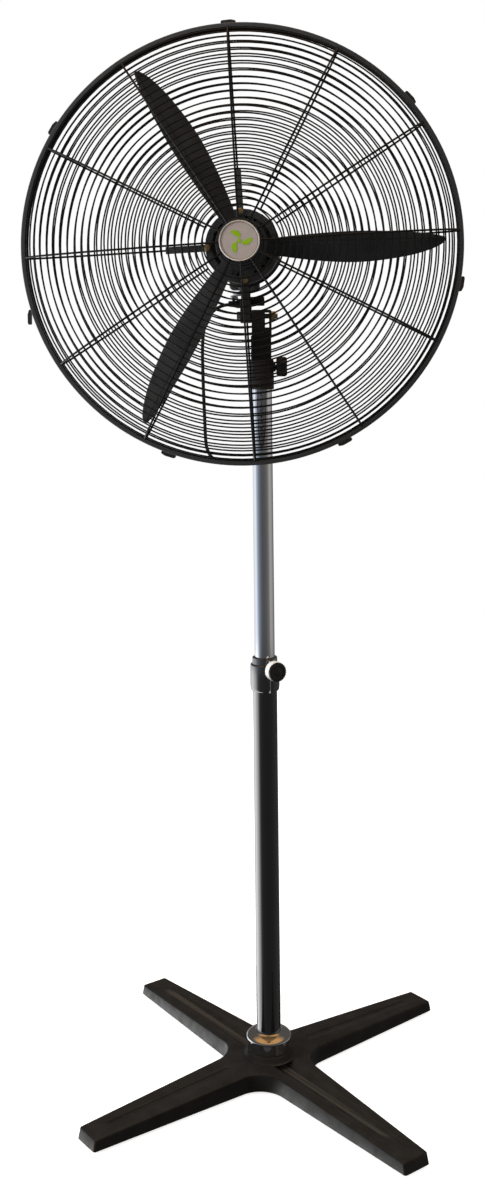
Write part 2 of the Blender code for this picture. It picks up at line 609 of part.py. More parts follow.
def build_clips():
    """Over-centre levers round the band. Each lies along the band and swings out about a pin along Y."""
    width, length, barrel = (-0.2085, -0.1935), CLIP_LENGTH, 0.0029
    outline = [(barrel * cos(a), barrel * sin(a)) for a in (radians(70 + 22.5 * i) for i in range(9))]
    outline += [(0.0060, -0.0046), (length - 0.0030, -0.0040), (length, -0.0022), (length, 0.0004),
                (length - 0.0020, 0.0014), (0.0040, 0.0012)]
    for number, angle in enumerate(CLIP_ANGLES, 1):
        name = f"clip_{number}"
        pin = BODY_PLACES[name]
        swing = OPEN_ANGLE if number == OPEN_CLIP else 0.0
        along = radians(angle + 90)
        bm = loft([[(u, y, v) for u, v in outline] for y in width])
        move(bm, Matrix.Translation((pin[0], 0, pin[2])) @ Matrix.Rotation(swing - along, 4, "Y"))
        piece(f"guard_clip_{number}", name, "black_paint", bm)


def add_clip_bodies():
    for number, angle in enumerate(CLIP_ANGLES, 1):
        pin = round_the_fan(BAND_R + 0.0032, -0.201, radians(angle) - 0.5 * CLIP_LENGTH / BAND_R)
        BODY_PLACES[f"clip_{number}"] = tuple(pin)
        BODY_PARENTS[f"clip_{number}"] = "head"


# Rotor: what spins

def blade_chord(radius):
    """Width of a blade as seen from the front: a leaf that is narrow at the hub and has a round tip."""
    last, width = BLADE_WIDTHS[-1]
    if radius >= last:
        return width * sqrt(max(0.0, (BLADE_TIP - radius) / (BLADE_TIP - last)))
    for (low, before), (high, after) in zip(BLADE_WIDTHS, BLADE_WIDTHS[1:]):
        if radius <= high:
            return before + (after - before) * max(0.0, radius - low) / (high - low)


def blade_mesh(angle):
    """A twisted, creased leaf 1.8 mm thick. The crease is nearer the edge that trails."""
    thickness, stations = 0.0018, 11
    across = (-0.68, -0.56, -0.42, -0.28, -0.14, 0.0, 0.16, 0.32)
    bm = bmesh.new()
    rows = []
    for step in range(stations):
        share = sin(0.5 * pi * step / (stations - 1)) ** 1.15
        radius = HUB_R + GAP + share * (BLADE_TIP - HUB_R - GAP - 0.0015)
        chord = max(blade_chord(radius), 0.006)
        pitch = radians(30 - 13 * share)
        row = []
        for side in (1, -1):
            for part in across:
                lateral = part * chord
                along = radius
                if step == 0:
                    along = sqrt((HUB_R + 0.0008) ** 2 - lateral ** 2)
                crease = 0.0035 * (1 - abs(part) / 0.68)
                depth = -lateral * tan(pitch) - crease + 0.5 * side * thickness
                row.append(bm.verts.new((along, BLADE_Y + depth, lateral)))
        rows.append(row)
    count = len(across)
    for low, high in zip(rows, rows[1:]):
        for i in range(count - 1):
            bm.faces.new((low[i], low[i + 1], high[i + 1], high[i]))
            bm.faces.new((low[count + i], high[count + i], high[count + i + 1], low[count + i + 1]))
        bm.faces.new((low[0], high[0], high[count], low[count]))
        bm.faces.new((low[count - 1], low[2 * count - 1], high[2 * count - 1], high[count - 1]))
    for row in (rows[0], rows[-1]):
        for i in range(count - 1):
            bm.faces.new((row[i], row[i + 1], row[count + i + 1], row[count + i]))
    bmesh.ops.recalc_face_normals(bm, faces=bm.faces)
    return move(bm, Matrix.Translation((0, 0, FAN_Z)) @ Matrix.Rotation(-angle, 4, "Y"))


def build_rotor():
    axis = dict(centre=(0, 0, FAN_Z), axis=Y_AXIS)
    piece("rotor_shaft", "rotor", "steel", turned(
        [(0, -0.2440), (0.0052, -0.2440), (SHAFT_R, -0.2430), (SHAFT_R, 0.0400), (0.0050, 0.0400),
         (0.0050, 0.0560), (0.0043, 0.0570), (0.0043, 0.0750), (0.0050, 0.0760), (0.0050, 0.0900), (0, 0.0900)],
        segments=24, **axis))
    piece("rotor_core", "rotor", "lamination", sleeve(SHAFT_R + GAP, 0.0355, -0.112, -0.054, segments=24, **axis))
    ridge = [(HUB_R, -0.1830), (HUB_R, -0.2190), (0.0440, -0.2225), (0.0400, -0.2222), (0.0385, -0.2255),
             (0.0330, -0.2252), (0.0315, -0.2285), (0.0260, -0.2282), (0.0245, -0.2310), (0.0150, -0.2325)]
    piece("fan_hub", "rotor", "blade_plastic", turned(
        ridge + [(SHAFT_R + GAP, -0.2325), (SHAFT_R + GAP, -0.1830)], segments=32, ring=True, **axis))
    piece("hub_nut", "rotor", "steel", sleeve(
        0.0073, 0.0110, -0.2425, -0.2328, centre=(0, 0, FAN_Z), axis=Y_AXIS, segments=6))
    for number, angle in enumerate(BLADE_ANGLES):
        piece(f"blade_{number + 1}", "rotor", "blade_plastic", blade_mesh(radians(angle)), sharp=50)


# Mains lead. The route's points are in metres, from the switch box to the plug.

CLIP_Y = 0.0262
UPPER_ROUTE = (
    (-0.0073, 0.0500, GLAND_Z), (-0.0330, 0.0500, GLAND_Z), (-0.0520, 0.0495, 1.5200), (-0.0690, 0.0480, 1.5090),
    (-0.0810, 0.0465, 1.4910), (-0.0875, 0.0450, 1.4680), (-0.0900, 0.0440, 1.4350), (-0.0898, 0.0425, 1.3900),
    (-0.0885, 0.0410, 1.3400), (-0.0868, 0.0395, 1.2900), (-0.0855, 0.0380, 1.2560), (-0.0825, 0.0370, 1.2330),
    (-0.0720, 0.0355, 1.2150), (-0.0520, 0.0340, 1.2075), (-0.0280, 0.0320, 1.2064), (0.0000, 0.0292, 1.2060),
    (0.0125, 0.0281, 1.2035), (0.0225, 0.0271, 1.1970), (0.0284, 0.0264, 1.1880), (0.0300, 0.0262, 1.1785),
    (0.0300, 0.0262, 1.1722),
)
LOWER_ROUTE = (
    (0.0300, 0.0262, 1.1718), (0.0300, 0.0262, 1.1655), (0.0300, 0.0270, 1.1400), (0.0300, 0.0290, 1.0800), (0.0300, 0.0315, 0.9600),
    (0.0300, 0.0342, 0.8400), (0.0300, 0.0350, 0.7400), (0.0300, 0.0352, 0.6200), (0.0300, 0.0360, 0.4800),
    (0.0299, 0.0385, 0.3400), (0.0297, 0.0450, 0.2200), (0.0293, 0.0580, 0.1300), (0.0288, 0.0760, 0.0750),
    (0.0281, 0.1000, 0.0350), (0.0273, 0.1300, 0.0105), (0.0264, 0.1620, 0.0040), (0.0255, 0.1950, 0.0037),
    (0.0247, 0.2270, 0.0042), (0.0240, 0.2460, 0.0085), (0.0236, 0.2592, 0.0100),
)


def smooth_route(points, spacing):
    """Points about a spacing apart, read from a smooth curve through the route's points."""
    vectors = [Vector(p) for p in points]
    padded = [2 * vectors[0] - vectors[1], *vectors, 2 * vectors[-1] - vectors[-2]]
    route = [vectors[0]]
    for a, b, c, d in zip(padded, padded[1:], padded[2:], padded[3:]):
        steps = max(1, round((c - b).length / spacing))
        for i in range(1, steps + 1):
            t = i / steps
            route.append(0.5 * (2 * b + (c - a) * t + (2 * a - 5 * b + 4 * c - d) * t * t
                                + (3 * b - a - 3 * c + d) * t * t * t))
    return route


def cord(name, body, route, spacing):
    points = smooth_route(route, spacing)
    curve = bpy.data.curves.new(name, "CURVE")
    curve.dimensions = "3D"
    curve.bevel_depth = CORD_R
    curve.bevel_resolution = 2
    curve.use_fill_caps = True
    spline = curve.splines.new("POLY")
    spline.points.add(len(points) - 1)
    origin = Vector(BODY_PLACES[body])
    for point, place in zip(spline.points, points):
        point.co = (*(place - origin), 1)
    curve.materials.append(materials["cord_rubber"])
    obj = bpy.data.objects.new(name, curve)
    bpy.context.scene.collection.objects.link(obj)
    obj.parent = bodies[body]
    return obj


def build_mains_lead():
    cord("mains_lead_upper", "mast", UPPER_ROUTE, 0.020)
    cord("mains_lead_lower", "stand", LOWER_ROUTE, 0.040)
    end, nose = LOWER_ROUTE[-1], 0.2600
    plug = piece("mains_plug", "stand", "cord_rubber", block(
        (end[0] - 0.0165, nose + 0.018, 0.0), (end[0] + 0.0165, nose + 0.044, 0.0200), 0.0040))
    relief = turned([(0, 0), (0.0048, 0), (0.0085, 0.0200), (0, 0.0200)], (end[0], nose, 0.0100), Y_AXIS, 20)
    blades = [block((end[0] + x - 0.0032, nose + 0.040, 0.0092), (end[0] + x + 0.0032, nose + 0.061, 0.0108))
              for x in (-0.0075, 0.0075)]
    join(plug, relief, *blades)


clear_scene()
add_clip_bodies()
materials = {name: make_material(name) for name in MATERIALS}
bodies = {}
for body_name in BODY_PLACES:
    bodies[body_name] = make_body(body_name)
build_base()
build_collar()
build_mast()
build_neck()
build_motor()
build_guards()
build_clips()
build_rotor()
build_mains_lead()
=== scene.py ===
"""Looks of the pedestal fan: finer meshes, procedural materials, studio light and the camera."""

from math import atan2, cos, pi, radians, sin, sqrt, tan

import bmesh
import bpy
from mathutils import Matrix, Vector


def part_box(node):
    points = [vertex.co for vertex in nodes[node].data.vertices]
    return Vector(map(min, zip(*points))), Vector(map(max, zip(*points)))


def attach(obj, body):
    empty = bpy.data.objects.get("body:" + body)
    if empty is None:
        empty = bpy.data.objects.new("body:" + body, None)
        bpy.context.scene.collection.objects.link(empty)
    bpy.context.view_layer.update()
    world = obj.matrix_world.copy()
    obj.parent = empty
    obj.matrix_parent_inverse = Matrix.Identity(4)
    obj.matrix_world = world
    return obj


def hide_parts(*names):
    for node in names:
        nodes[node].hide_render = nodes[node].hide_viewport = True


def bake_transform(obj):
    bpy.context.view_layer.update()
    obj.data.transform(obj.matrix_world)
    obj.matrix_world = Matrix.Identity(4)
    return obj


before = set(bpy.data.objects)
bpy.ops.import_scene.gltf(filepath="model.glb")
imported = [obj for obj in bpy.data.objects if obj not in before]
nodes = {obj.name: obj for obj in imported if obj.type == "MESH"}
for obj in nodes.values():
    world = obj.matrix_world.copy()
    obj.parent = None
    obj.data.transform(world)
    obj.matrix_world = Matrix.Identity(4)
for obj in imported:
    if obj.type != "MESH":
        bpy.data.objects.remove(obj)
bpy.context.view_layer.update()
scene = bpy.context.scene

# Sizes are in metres. The fan's axis runs along Y, it faces -Y, and the column stands to one side.
Y, Z = Vector((0, 1, 0)), Vector((0, 0, 1))
COLUMN_X = 0.030
COLUMN = (COLUMN_X, 0, 0)
FAN_Z = 1.628
HUB = Vector((0, 0, FAN_Z))


# Mesh helpers

def mesh_from(name, bm):
    """The mesh of a bmesh with its faces outward. The bmesh is freed."""
    mesh = bpy.data.meshes.new(name)
    bmesh.ops.recalc_face_normals(bm, faces=bm.faces)
    bm.to_mesh(mesh)
    bm.free()
    return mesh


def put(name, bm, body, mat, replaces=(), sharp=40, bevel=0.0, weighted=True):
    """Makes a smooth-shaded piece that rides on a body and stands for CAD nodes."""
    mesh = mesh_from(name, bm)
    obj = bpy.data.objects.new(name, mesh)
    scene.collection.objects.link(obj)
    mesh.materials.append(mat)
    if bevel:
        modifier = obj.modifiers.new("bevel", "BEVEL")
        modifier.width = bevel
        modifier.segments = 3
        modifier.limit_method = "ANGLE"
        modifier.angle_limit = radians(35)
    mesh.shade_smooth()
    mesh.set_sharp_from_angle(angle=radians(sharp))
    if weighted:
        obj.modifiers.new("flat_faces_shade_flat", "WEIGHTED_NORMAL").keep_sharp = True
    if body:
        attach(obj, body)
    if replaces:
        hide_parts(*replaces)
    return obj


def cut(obj, solid):
    """Cuts a solid out of a piece and keeps only the resulting mesh."""
    tool = bpy.data.objects.new("cutter", mesh_from("cutter", solid))
    scene.collection.objects.link(tool)
    modifier = obj.modifiers.new("cut", "BOOLEAN")
    modifier.object = tool
    modifier.solver = "EXACT"
    graph = bpy.context.evaluated_depsgraph_get()
    result = bpy.data.meshes.new_from_object(obj.evaluated_get(graph))
    result.name = obj.data.name + "_cut"
    obj.modifiers.clear()
    obj.data = result
    bpy.data.objects.remove(tool)
    obj.data.shade_smooth()
    obj.data.set_sharp_from_angle(angle=radians(40))


def gather(parts):
    """One bmesh from several that don't touch."""
    whole = bmesh.new()
    for part in parts:
        mesh = bpy.data.meshes.new("part")
        part.to_mesh(mesh)
        part.free()
        whole.from_mesh(mesh)
        bpy.data.meshes.remove(mesh)
    return whole


def turned(profile, centre=(0, 0, 0), axis=Z, segments=96, ring=False):
    """Turns (radius, height) points round an axis. In a ring the last point joins the first."""
    bm = bmesh.new()
    rows = []
    for radius, height in profile:
        if radius == 0:
            rows.append([bm.verts.new((0, 0, height))] * segments)
        else:
            steps = (2 * pi * i / segments for i in range(segments))
            rows.append([bm.verts.new((radius * cos(a), radius * sin(a), height)) for a in steps])
    pairs = list(zip(rows, rows[1:]))
    if ring:
        pairs.append((rows[-1], rows[0]))
    for low, high in pairs:
        for i in range(segments):
            j = (i + 1) % segments
            corners = list(dict.fromkeys((low[i], low[j], high[j], high[i])))
            if len(corners) > 2:
                bm.faces.new(corners)
    turn = Z.rotation_difference(Vector(axis)).to_matrix().to_4x4()
    bmesh.ops.transform(bm, matrix=Matrix.Translation(centre) @ turn, verts=bm.verts)
    return bm


def loft(loops):
    """Skins rings of points one after another, and closes both ends."""
    bm = bmesh.new()
    rows = [[bm.verts.new(point) for point in loop] for loop in loops]
    count = len(rows[0])
    for low, high in zip(rows, rows[1:]):
        for i in range(count):
            j = (i + 1) % count
            bm.faces.new((low[i], low[j], high[j], high[i]))
    ends = [bm.faces.new(rows[0]), bm.faces.new(rows[-1])]
    bm.normal_update()
    bmesh.ops.triangulate(bm, faces=ends, ngon_method="EAR_CLIP")
    return bm


def block(low, high, edge=0.0, segments=3):
    """A box between two corners, with its edges rounded if asked."""
    (x0, y0, z0), (x1, y1, z1) = low, high
    corners = ((x0, y0), (x1, y0), (x1, y1), (x0, y1))
    bm = loft([[(x, y, z) for x, y in corners] for z in (z0, z1)])
    bmesh.ops.dissolve_limit(bm, angle_limit=0.01, verts=bm.verts, edges=bm.edges)
    if edge:
        bmesh.ops.bevel(bm, geom=bm.edges[:], offset=edge, segments=segments, affect="EDGES",
                        profile=0.5)
    return bm


def tube(bm, points, radius, sides=8, closed=False):
    """Adds a round wire along points, without twist."""
    count = len(points)
    points = [Vector(p) for p in points]
    normal = None
    rows = []
    for i, point in enumerate(points):
        before = points[i - 1] if closed or i else point
        after = points[(i + 1) % count] if closed or i < count - 1 else point
        along = (after - before).normalized()
        if normal is None:
            normal = along.orthogonal().normalized()
        normal = (normal - along * normal.dot(along)).normalized()
        side = along.cross(normal)
        rows.append([bm.verts.new(point + radius * (cos(a) * normal + sin(a) * side))
                     for a in (2 * pi * k / sides for k in range(sides))])
    pairs = list(zip(rows, rows[1:]))
    if closed:
        first, last = rows[0], rows[-1]
        shift = min(range(sides), key=lambda k: (first[k].co - last[0].co).length)
        pairs.append((last, first[shift:] + first[:shift]))
    for low, high in pairs:
        for k in range(sides):
            m = (k + 1) % sides
            bm.faces.new((low[k], low[m], high[m], high[k]))
    if not closed:
        bm.faces.new(rows[0])
        bm.faces.new(rows[-1])
    return bm


def polar(radius, y, angle):
    """A point round the fan's axis."""
    return Vector((radius * cos(angle), y, FAN_Z + radius * sin(angle)))


def move(bm, matrix):
    """Moves a bmesh and gives it back."""
    bmesh.ops.transform(bm, matrix=matrix, verts=bm.verts)
    return bm


def round_hub(angle):
    """Takes a shape made along +X to the fan's axis and turns it round that axis."""
    return Matrix.Translation(HUB) @ Matrix.Rotation(-angle, 4, "Y")


def smooth_route(points, spacing):
    """A Catmull-Rom curve through the points, in steps of about the spacing."""
    vectors = [Vector(p) for p in points]
    padded = [2 * vectors[0] - vectors[1], *vectors, 2 * vectors[-1] - vectors[-2]]
    route = [vectors[0]]
    for a, b, c, d in zip(padded, padded[1:], padded[2:], padded[3:]):
        steps = max(1, round((c - b).length / spacing))
        for i in range(1, steps + 1):
            t = i / steps
            route.append(0.5 * (2 * b + (c - a) * t + (2 * a - 5 * b + 4 * c - d) * t * t
                                + (3 * b - a - 3 * c + d) * t * t * t))
    return route


# Materials

MIX_FIRST, MIX_SECOND, MIX_RESULT = 6, 7, 2  # colour sockets, which share their names with others
BUMP_DEPTH = 0.0006
# The lighter brown of upward faces: partly dust, partly a painted sheen.
DUST_AND_SHEEN = (0.20, 0.18, 0.16)


def mixed(tree, factor, first, second):
    """A colour between two, each of them a socket or plain red, green and blue."""
    node = tree.nodes.new("ShaderNodeMix")
    node.data_type = "RGBA"
    tree.links.new(factor, node.inputs["Factor"])
    for colour, place in ((first, MIX_FIRST), (second, MIX_SECOND)):
        if isinstance(colour, tuple):
            node.inputs[place].default_value = (*colour, 1)
        else:
            tree.links.new(colour, node.inputs[place])
    return node.outputs[MIX_RESULT]


def material(name, colour, roughness, metallic=0.0, vary=0.0, rough_vary=0.0, scale=60.0, bump=0.0,
             bump_scale=400.0, wear_and_highlight=None, coat=0.0, coat_index=1.5, stretch=(1, 1, 1), dust_and_sheen=0.0,
             gloss=0.5):
    """A finish with uneven colour and roughness, and if asked a bump, lighter edges that are partly
    wear and partly a painted highlight, and lighter upward faces that are partly dust and partly a
    painted sheen.
    """
    mat = bpy.data.materials.new(name)
    mat.use_nodes = True
    tree = mat.node_tree
    shader = tree.nodes["Principled BSDF"]
    shader.inputs["Metallic"].default_value = metallic
    shader.inputs["Specular IOR Level"].default_value = gloss
    shader.inputs["Coat Weight"].default_value = coat
    shader.inputs["Coat Roughness"].default_value = 0.08
    shader.inputs["Coat IOR"].default_value = coat_index
    place = tree.nodes.new("ShaderNodeTexCoord")
    mapping = tree.nodes.new("ShaderNodeMapping")
    mapping.inputs["Scale"].default_value = stretch
    tree.links.new(place.outputs["Object"], mapping.inputs["Vector"])

    def noise(size, detail=3.0):
        node = tree.nodes.new("ShaderNodeTexNoise")
        node.inputs["Scale"].default_value = size
        node.inputs["Detail"].default_value = detail
        tree.links.new(mapping.outputs["Vector"], node.inputs["Vector"])
        return node.outputs["Fac"]

    def ramp(source, low, high, a=0.3, b=0.7):
        node = tree.nodes.new("ShaderNodeValToRGB")
        node.color_ramp.elements[0].position = a
        node.color_ramp.elements[1].position = b
        node.color_ramp.elements[0].color = (*low, 1)
        node.color_ramp.elements[1].color = (*high, 1)
        tree.links.new(source, node.inputs["Fac"])
        return node.outputs["Color"]

    dark = tuple(c * (1 - vary) for c in colour)
    light = tuple(min(1.0, c * (1 + vary)) for c in colour)
    shade = ramp(noise(scale), dark, light)
    geometry = tree.nodes.new("ShaderNodeNewGeometry")
    # Edges, found by pointiness, take a lighter colour: partly wear, partly a painted highlight.
    if wear_and_highlight:
        edge = ramp(geometry.outputs["Pointiness"], (0, 0, 0), (1, 1, 1), 0.52, 0.60)
        shade = mixed(tree, edge, shade, wear_and_highlight)
    # Faces that look up take a lighter brown: partly dust, partly a painted sheen.
    if dust_and_sheen:
        split = tree.nodes.new("ShaderNodeSeparateXYZ")
        tree.links.new(geometry.outputs["Normal"], split.inputs[0])
        upward = ramp(split.outputs["Z"], (0, 0, 0), (dust_and_sheen, dust_and_sheen, dust_and_sheen), 0.4, 1.0)
        shade = mixed(tree, upward, shade, DUST_AND_SHEEN)
    tree.links.new(shade, shader.inputs["Base Color"])
    if rough_vary:
        low, high = max(0.0, roughness - rough_vary), min(1.0, roughness + rough_vary)
        tree.links.new(ramp(noise(scale * 1.7), (low,) * 3, (high,) * 3),
                       shader.inputs["Roughness"])
    else:
        shader.inputs["Roughness"].default_value = roughness
    if bump:
        node = tree.nodes.new("ShaderNodeBump")
        node.inputs["Strength"].default_value = bump
        node.inputs["Distance"].default_value = BUMP_DEPTH
        tree.links.new(noise(bump_scale, 2.0), node.inputs["Height"])
        tree.links.new(node.outputs["Normal"], shader.inputs["Normal"])
    return mat


# The base's lighter edges and groove lips are partly a painted highlight, and the brown on its
# upward faces is partly a painted sheen.
cast_black = material("cast_black", (0.0125, 0.0123, 0.0117), 0.40, vary=0.30, rough_vary=0.10,
                      scale=30, bump=0.40, bump_scale=420, wear_and_highlight=(0.040, 0.036, 0.030), dust_and_sheen=0.01,
                      gloss=0.22)
paint_black = material("paint_black", (0.014, 0.014, 0.015), 0.30, vary=0.2, rough_vary=0.07,
                       scale=40, bump=0.12, bump_scale=700, wear_and_highlight=(0.03, 0.03, 0.03))
wire_black = material("wire_black", (0.006, 0.006, 0.007), 0.32, vary=0.2, rough_vary=0.06,
                      scale=90)
motor_black = material("motor_black", (0.034, 0.035, 0.035), 0.45, vary=0.25, rough_vary=0.08,
                       scale=60, bump=0.35, bump_scale=900, wear_and_highlight=(0.05, 0.05, 0.05))
band_grey = material("band_grey", (0.019, 0.019, 0.021), 0.34, vary=0.25, rough_vary=0.07, scale=25,
                     bump=0.10, bump_scale=500, wear_and_highlight=(0.12, 0.12, 0.12))
tube_black = material("tube_black", (0.003, 0.003, 0.004), 0.16, vary=0.15, rough_vary=0.04,
                      scale=18, stretch=(1, 1, 0.15), gloss=0.25, coat=1.0, coat_index=2.4)
collar_black = material("collar_black", (0.006, 0.006, 0.007), 0.35, vary=0.2, rough_vary=0.08,
                        scale=60, bump=0.15, bump_scale=1200, gloss=0.3, coat=1.0, coat_index=2.5)
plastic_black = material("plastic_black", (0.012, 0.012, 0.013), 0.42, vary=0.2, rough_vary=0.08,
                         scale=80, bump=0.25, bump_scale=1400)
blade_grey = material("blade_grey", (0.030, 0.0305, 0.031), 0.50, vary=0.25, rough_vary=0.08,
                      scale=22, bump=0.15, bump_scale=350, wear_and_highlight=(0.045, 0.045, 0.048), gloss=0.35)
chrome = material("chrome", (0.72, 0.73, 0.76), 0.07, metallic=1.0, vary=0.04, rough_vary=0.03,
                  scale=20, stretch=(1, 1, 0.2))
zinc = material("zinc", (0.50, 0.47, 0.40), 0.38, metallic=1.0, vary=0.18, rough_vary=0.12,
                scale=150, bump=0.12, bump_scale=900)
laminate = material("laminate", (0.16, 0.16, 0.165), 0.50, metallic=0.7, vary=0.15, rough_vary=0.08,
                    scale=50, bump=0.8, bump_scale=900, stretch=(0.02, 1, 0.02))
badge_face = material("badge_face", (0.54, 0.47, 0.43), 0.38, metallic=0.25, vary=0.05,
                      rough_vary=0.05, scale=120, bump=0.05, bump_scale=900)
badge_rim = material("badge_rim", (0.86, 0.82, 0.76), 0.22, metallic=0.6, vary=0.04,
                     rough_vary=0.05, scale=150)
badge_line = material("badge_line", (0.22, 0.13, 0.09), 0.40, vary=0.1, scale=150)
green = material("green_enamel", (0.27, 0.47, 0.012), 0.32, vary=0.08, rough_vary=0.05, scale=150,
                 coat=0.3)
rubber = material("rubber_black", (0.014, 0.014, 0.014), 0.78, vary=0.2, rough_vary=0.08, scale=90,
                  bump=0.4, bump_scale=900)
sheath = material("cord_sheath", (0.010, 0.010, 0.010), 0.55, vary=0.2, rough_vary=0.08, scale=150,
                  bump=0.2, bump_scale=1100)
# The spacer's white is partly its own colour and partly a painted highlight, standing for a glint
# on a glossy black side.
spacer_white_and_highlight = material("spacer_white_and_highlight", (0.94, 0.93, 0.91), 0.30, vary=0.03, rough_vary=0.05,
                        scale=150)
mark_white = material("mark_white", (0.75, 0.75, 0.73), 0.5, vary=0.05, scale=200)


# Camera

LENS, SHIFT_Y = 41.1, -0.2205
CAMERA_PLACE = (0.0924, -2.7189, 1.4607)
CAMERA_PAN, CAMERA_ROLL = radians(2.1), radians(-0.62)


def set_camera():
    """A level camera at the height of the neck. Its shift brings the base into the frame."""
    data = bpy.data.cameras.new("camera")
    data.sensor_width = 36
    data.lens = LENS
    data.shift_y = SHIFT_Y
    camera = bpy.data.objects.new("camera", data)
    scene.collection.objects.link(camera)
    turn = Matrix.Rotation(CAMERA_PAN, 4, "Z") @ Matrix.Rotation(radians(90), 4, "X")
    turn = turn @ Matrix.Rotation(CAMERA_ROLL, 4, "Z")
    camera.matrix_world = Matrix.Translation(CAMERA_PLACE) @ turn
    scene.camera = camera


# Mains lead, made first because its room is checked

CORD_R = 0.0035
ROUTE_STEP = 0.006
UPPER_ROUTE = ((-0.0073, 0.0500, 1.5235), (-0.0330, 0.0500, 1.5235), (-0.0520, 0.0495, 1.5200),
               (-0.0690, 0.0480, 1.5090), (-0.0810, 0.0465, 1.4910), (-0.0875, 0.0450, 1.4680),
               (-0.0900, 0.0440, 1.4350), (-0.0898, 0.0425, 1.3900), (-0.0885, 0.0410, 1.3400),
               (-0.0868, 0.0395, 1.2900), (-0.0855, 0.0380, 1.2560), (-0.0825, 0.0370, 1.2330),
               (-0.0720, 0.0355, 1.2150), (-0.0520, 0.0340, 1.2075), (-0.0280, 0.0320, 1.2064),
               (0.0000, 0.0292, 1.2060), (0.0125, 0.0281, 1.2035), (0.0225, 0.0271, 1.1970),
               (0.0284, 0.0264, 1.1880), (0.0300, 0.0262, 1.1785), (0.0300, 0.0262, 1.1722))
LOWER_ROUTE = ((0.0300, 0.0262, 1.1718), (0.0300, 0.0262, 1.1655), (0.0300, 0.0270, 1.1400),
               (0.0300, 0.0290, 1.0800), (0.0300, 0.0315, 0.9600), (0.0300, 0.0342, 0.8400),
               (0.0300, 0.0350, 0.7400), (0.0300, 0.0352, 0.6200), (0.0300, 0.0360, 0.4800),
               (0.0299, 0.0385, 0.3400), (0.0297, 0.0450, 0.2200), (0.0293, 0.0580, 0.1300),
               (0.0288, 0.0760, 0.0750), (0.0281, 0.1000, 0.0350), (0.0273, 0.1300, 0.0105),
               (0.0264, 0.1620, 0.0040), (0.0255, 0.1950, 0.0037), (0.0247, 0.2270, 0.0042),
               (0.0240, 0.2460, 0.0085), (0.0236, 0.2592, 0.0100))


def mains_lead():
    """The lead in two runs, each a round tube along a smooth curve through its points."""
    for name, route, bodies, span, exit_end in (
        ("lead_upper", UPPER_ROUTE, ("neck", "mast"),
         ((0, 0.045, 1.500), (0, 0.035, 1.300)), "object"),
        ("lead_lower", LOWER_ROUTE, ("mast", "stand"),
         ((0.03, 0.03, 1.160), (0.03, 0.034, 0.150)), "plug"),
    ):
        points = smooth_route(route, ROUTE_STEP)
        lead = put(name, tube(bmesh.new(), points, CORD_R, sides=12), None, sheath)
        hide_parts(name.replace("lead", "mains_lead"))
        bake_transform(lead)


# Base and column

LEG_TURN = radians(39)
LEG_REACH = 0.420  # from the column's axis
LEG_TIP, LEG_ROOT = 0.030, 0.044  # half widths
LEG_CORNER, LEG_FILLET = 0.0055, 0.055  # radii at a tip and between two legs
LEG_TOP, LEG_DROP, SLOPE_START = 0.0345, 0.0130, 0.075
GROOVE_NEAR, GROOVE_FAR, GROOVE_END = 0.095, 0.370, 0.0065
TUBE_R, MAST_R = 0.0238, 0.0199


def leg_outline(inset, end_inset=0.0):
    """The four legs' outline, seen from above and shrunk by the inset."""
    tip_half, root_half = LEG_TIP - inset, LEG_ROOT - inset
    corner, fillet = max(LEG_CORNER - inset, 0.0012), LEG_FILLET + inset
    end = LEG_REACH - inset - end_inset
    points = []
    for leg in range(4):
        turn = Matrix.Rotation(LEG_TURN + leg * pi / 2, 2)
        local = []
        for side in (-1, 1):
            for step in range(9):
                angle = radians(-90 + 11.25 * step) if side < 0 else radians(11.25 * step)
                reach = end - corner + corner * cos(angle)
                local.append((reach, side * (tip_half - corner) + corner * sin(angle)))
        middle = root_half + fillet
        start = Vector(local[-1])
        for step in range(1, 16):
            local.append(tuple(start.lerp(Vector((middle, root_half)), step / 16)))
        for step in range(17):
            angle = radians(-90 - 90 / 16 * step)
            local.append((middle + fillet * cos(angle), middle + fillet * sin(angle)))
        first = Vector((end - corner, -tip_half))
        for step in range(1, 16):
            mirrored = Vector((middle, -root_half)).lerp(first, step / 16)
            local.append(tuple(Matrix.Rotation(pi / 2, 2) @ mirrored))
        points += [turn @ Vector(point) for point in local]
    return points


def leg_height(reach):
    """Height of a leg's upper edge, which falls towards the tip."""
    along = min(max((reach - SLOPE_START) / (LEG_REACH - SLOPE_START), 0), 1)
    return LEG_TOP - LEG_DROP * along


def leg_groove(number):
    """The solid that cuts the long shallow groove in a leg's top, with rounded lips."""
    turn = Matrix.Rotation(LEG_TURN + number * pi / 2, 4, "Z")
    ends = ((GROOVE_NEAR + GROOVE_END, pi / 2), (GROOVE_FAR - GROOVE_END, -pi / 2))
    loops = []
    for half, rise in ((0.0048, 0.0016), (0.0053, 0.0017), (0.0057, 0.0020), (0.0060, 0.0029),
                       (0.0064, 0.0033), (0.0072, 0.0036), (0.0100, 0.0060)):
        outline = []
        for middle, angle in ends:
            arc = [angle + step * pi / 12 for step in range(13)]
            outline += [(middle + half * cos(a), half * sin(a)) for a in arc]
            side = 1 if angle > 0 else -1
            run = side * (GROOVE_FAR - GROOVE_NEAR - 2 * GROOVE_END)
            outline += [(middle + run * step / 24, -side * half) for step in range(1, 24)]
        spun = [(turn @ Vector((x, y, 0)), leg_height(x) + rise) for x, y in outline]
        loops.append([(COLUMN_X + spot.x, spot.y, z) for spot, z in spun])
    return loft(loops)


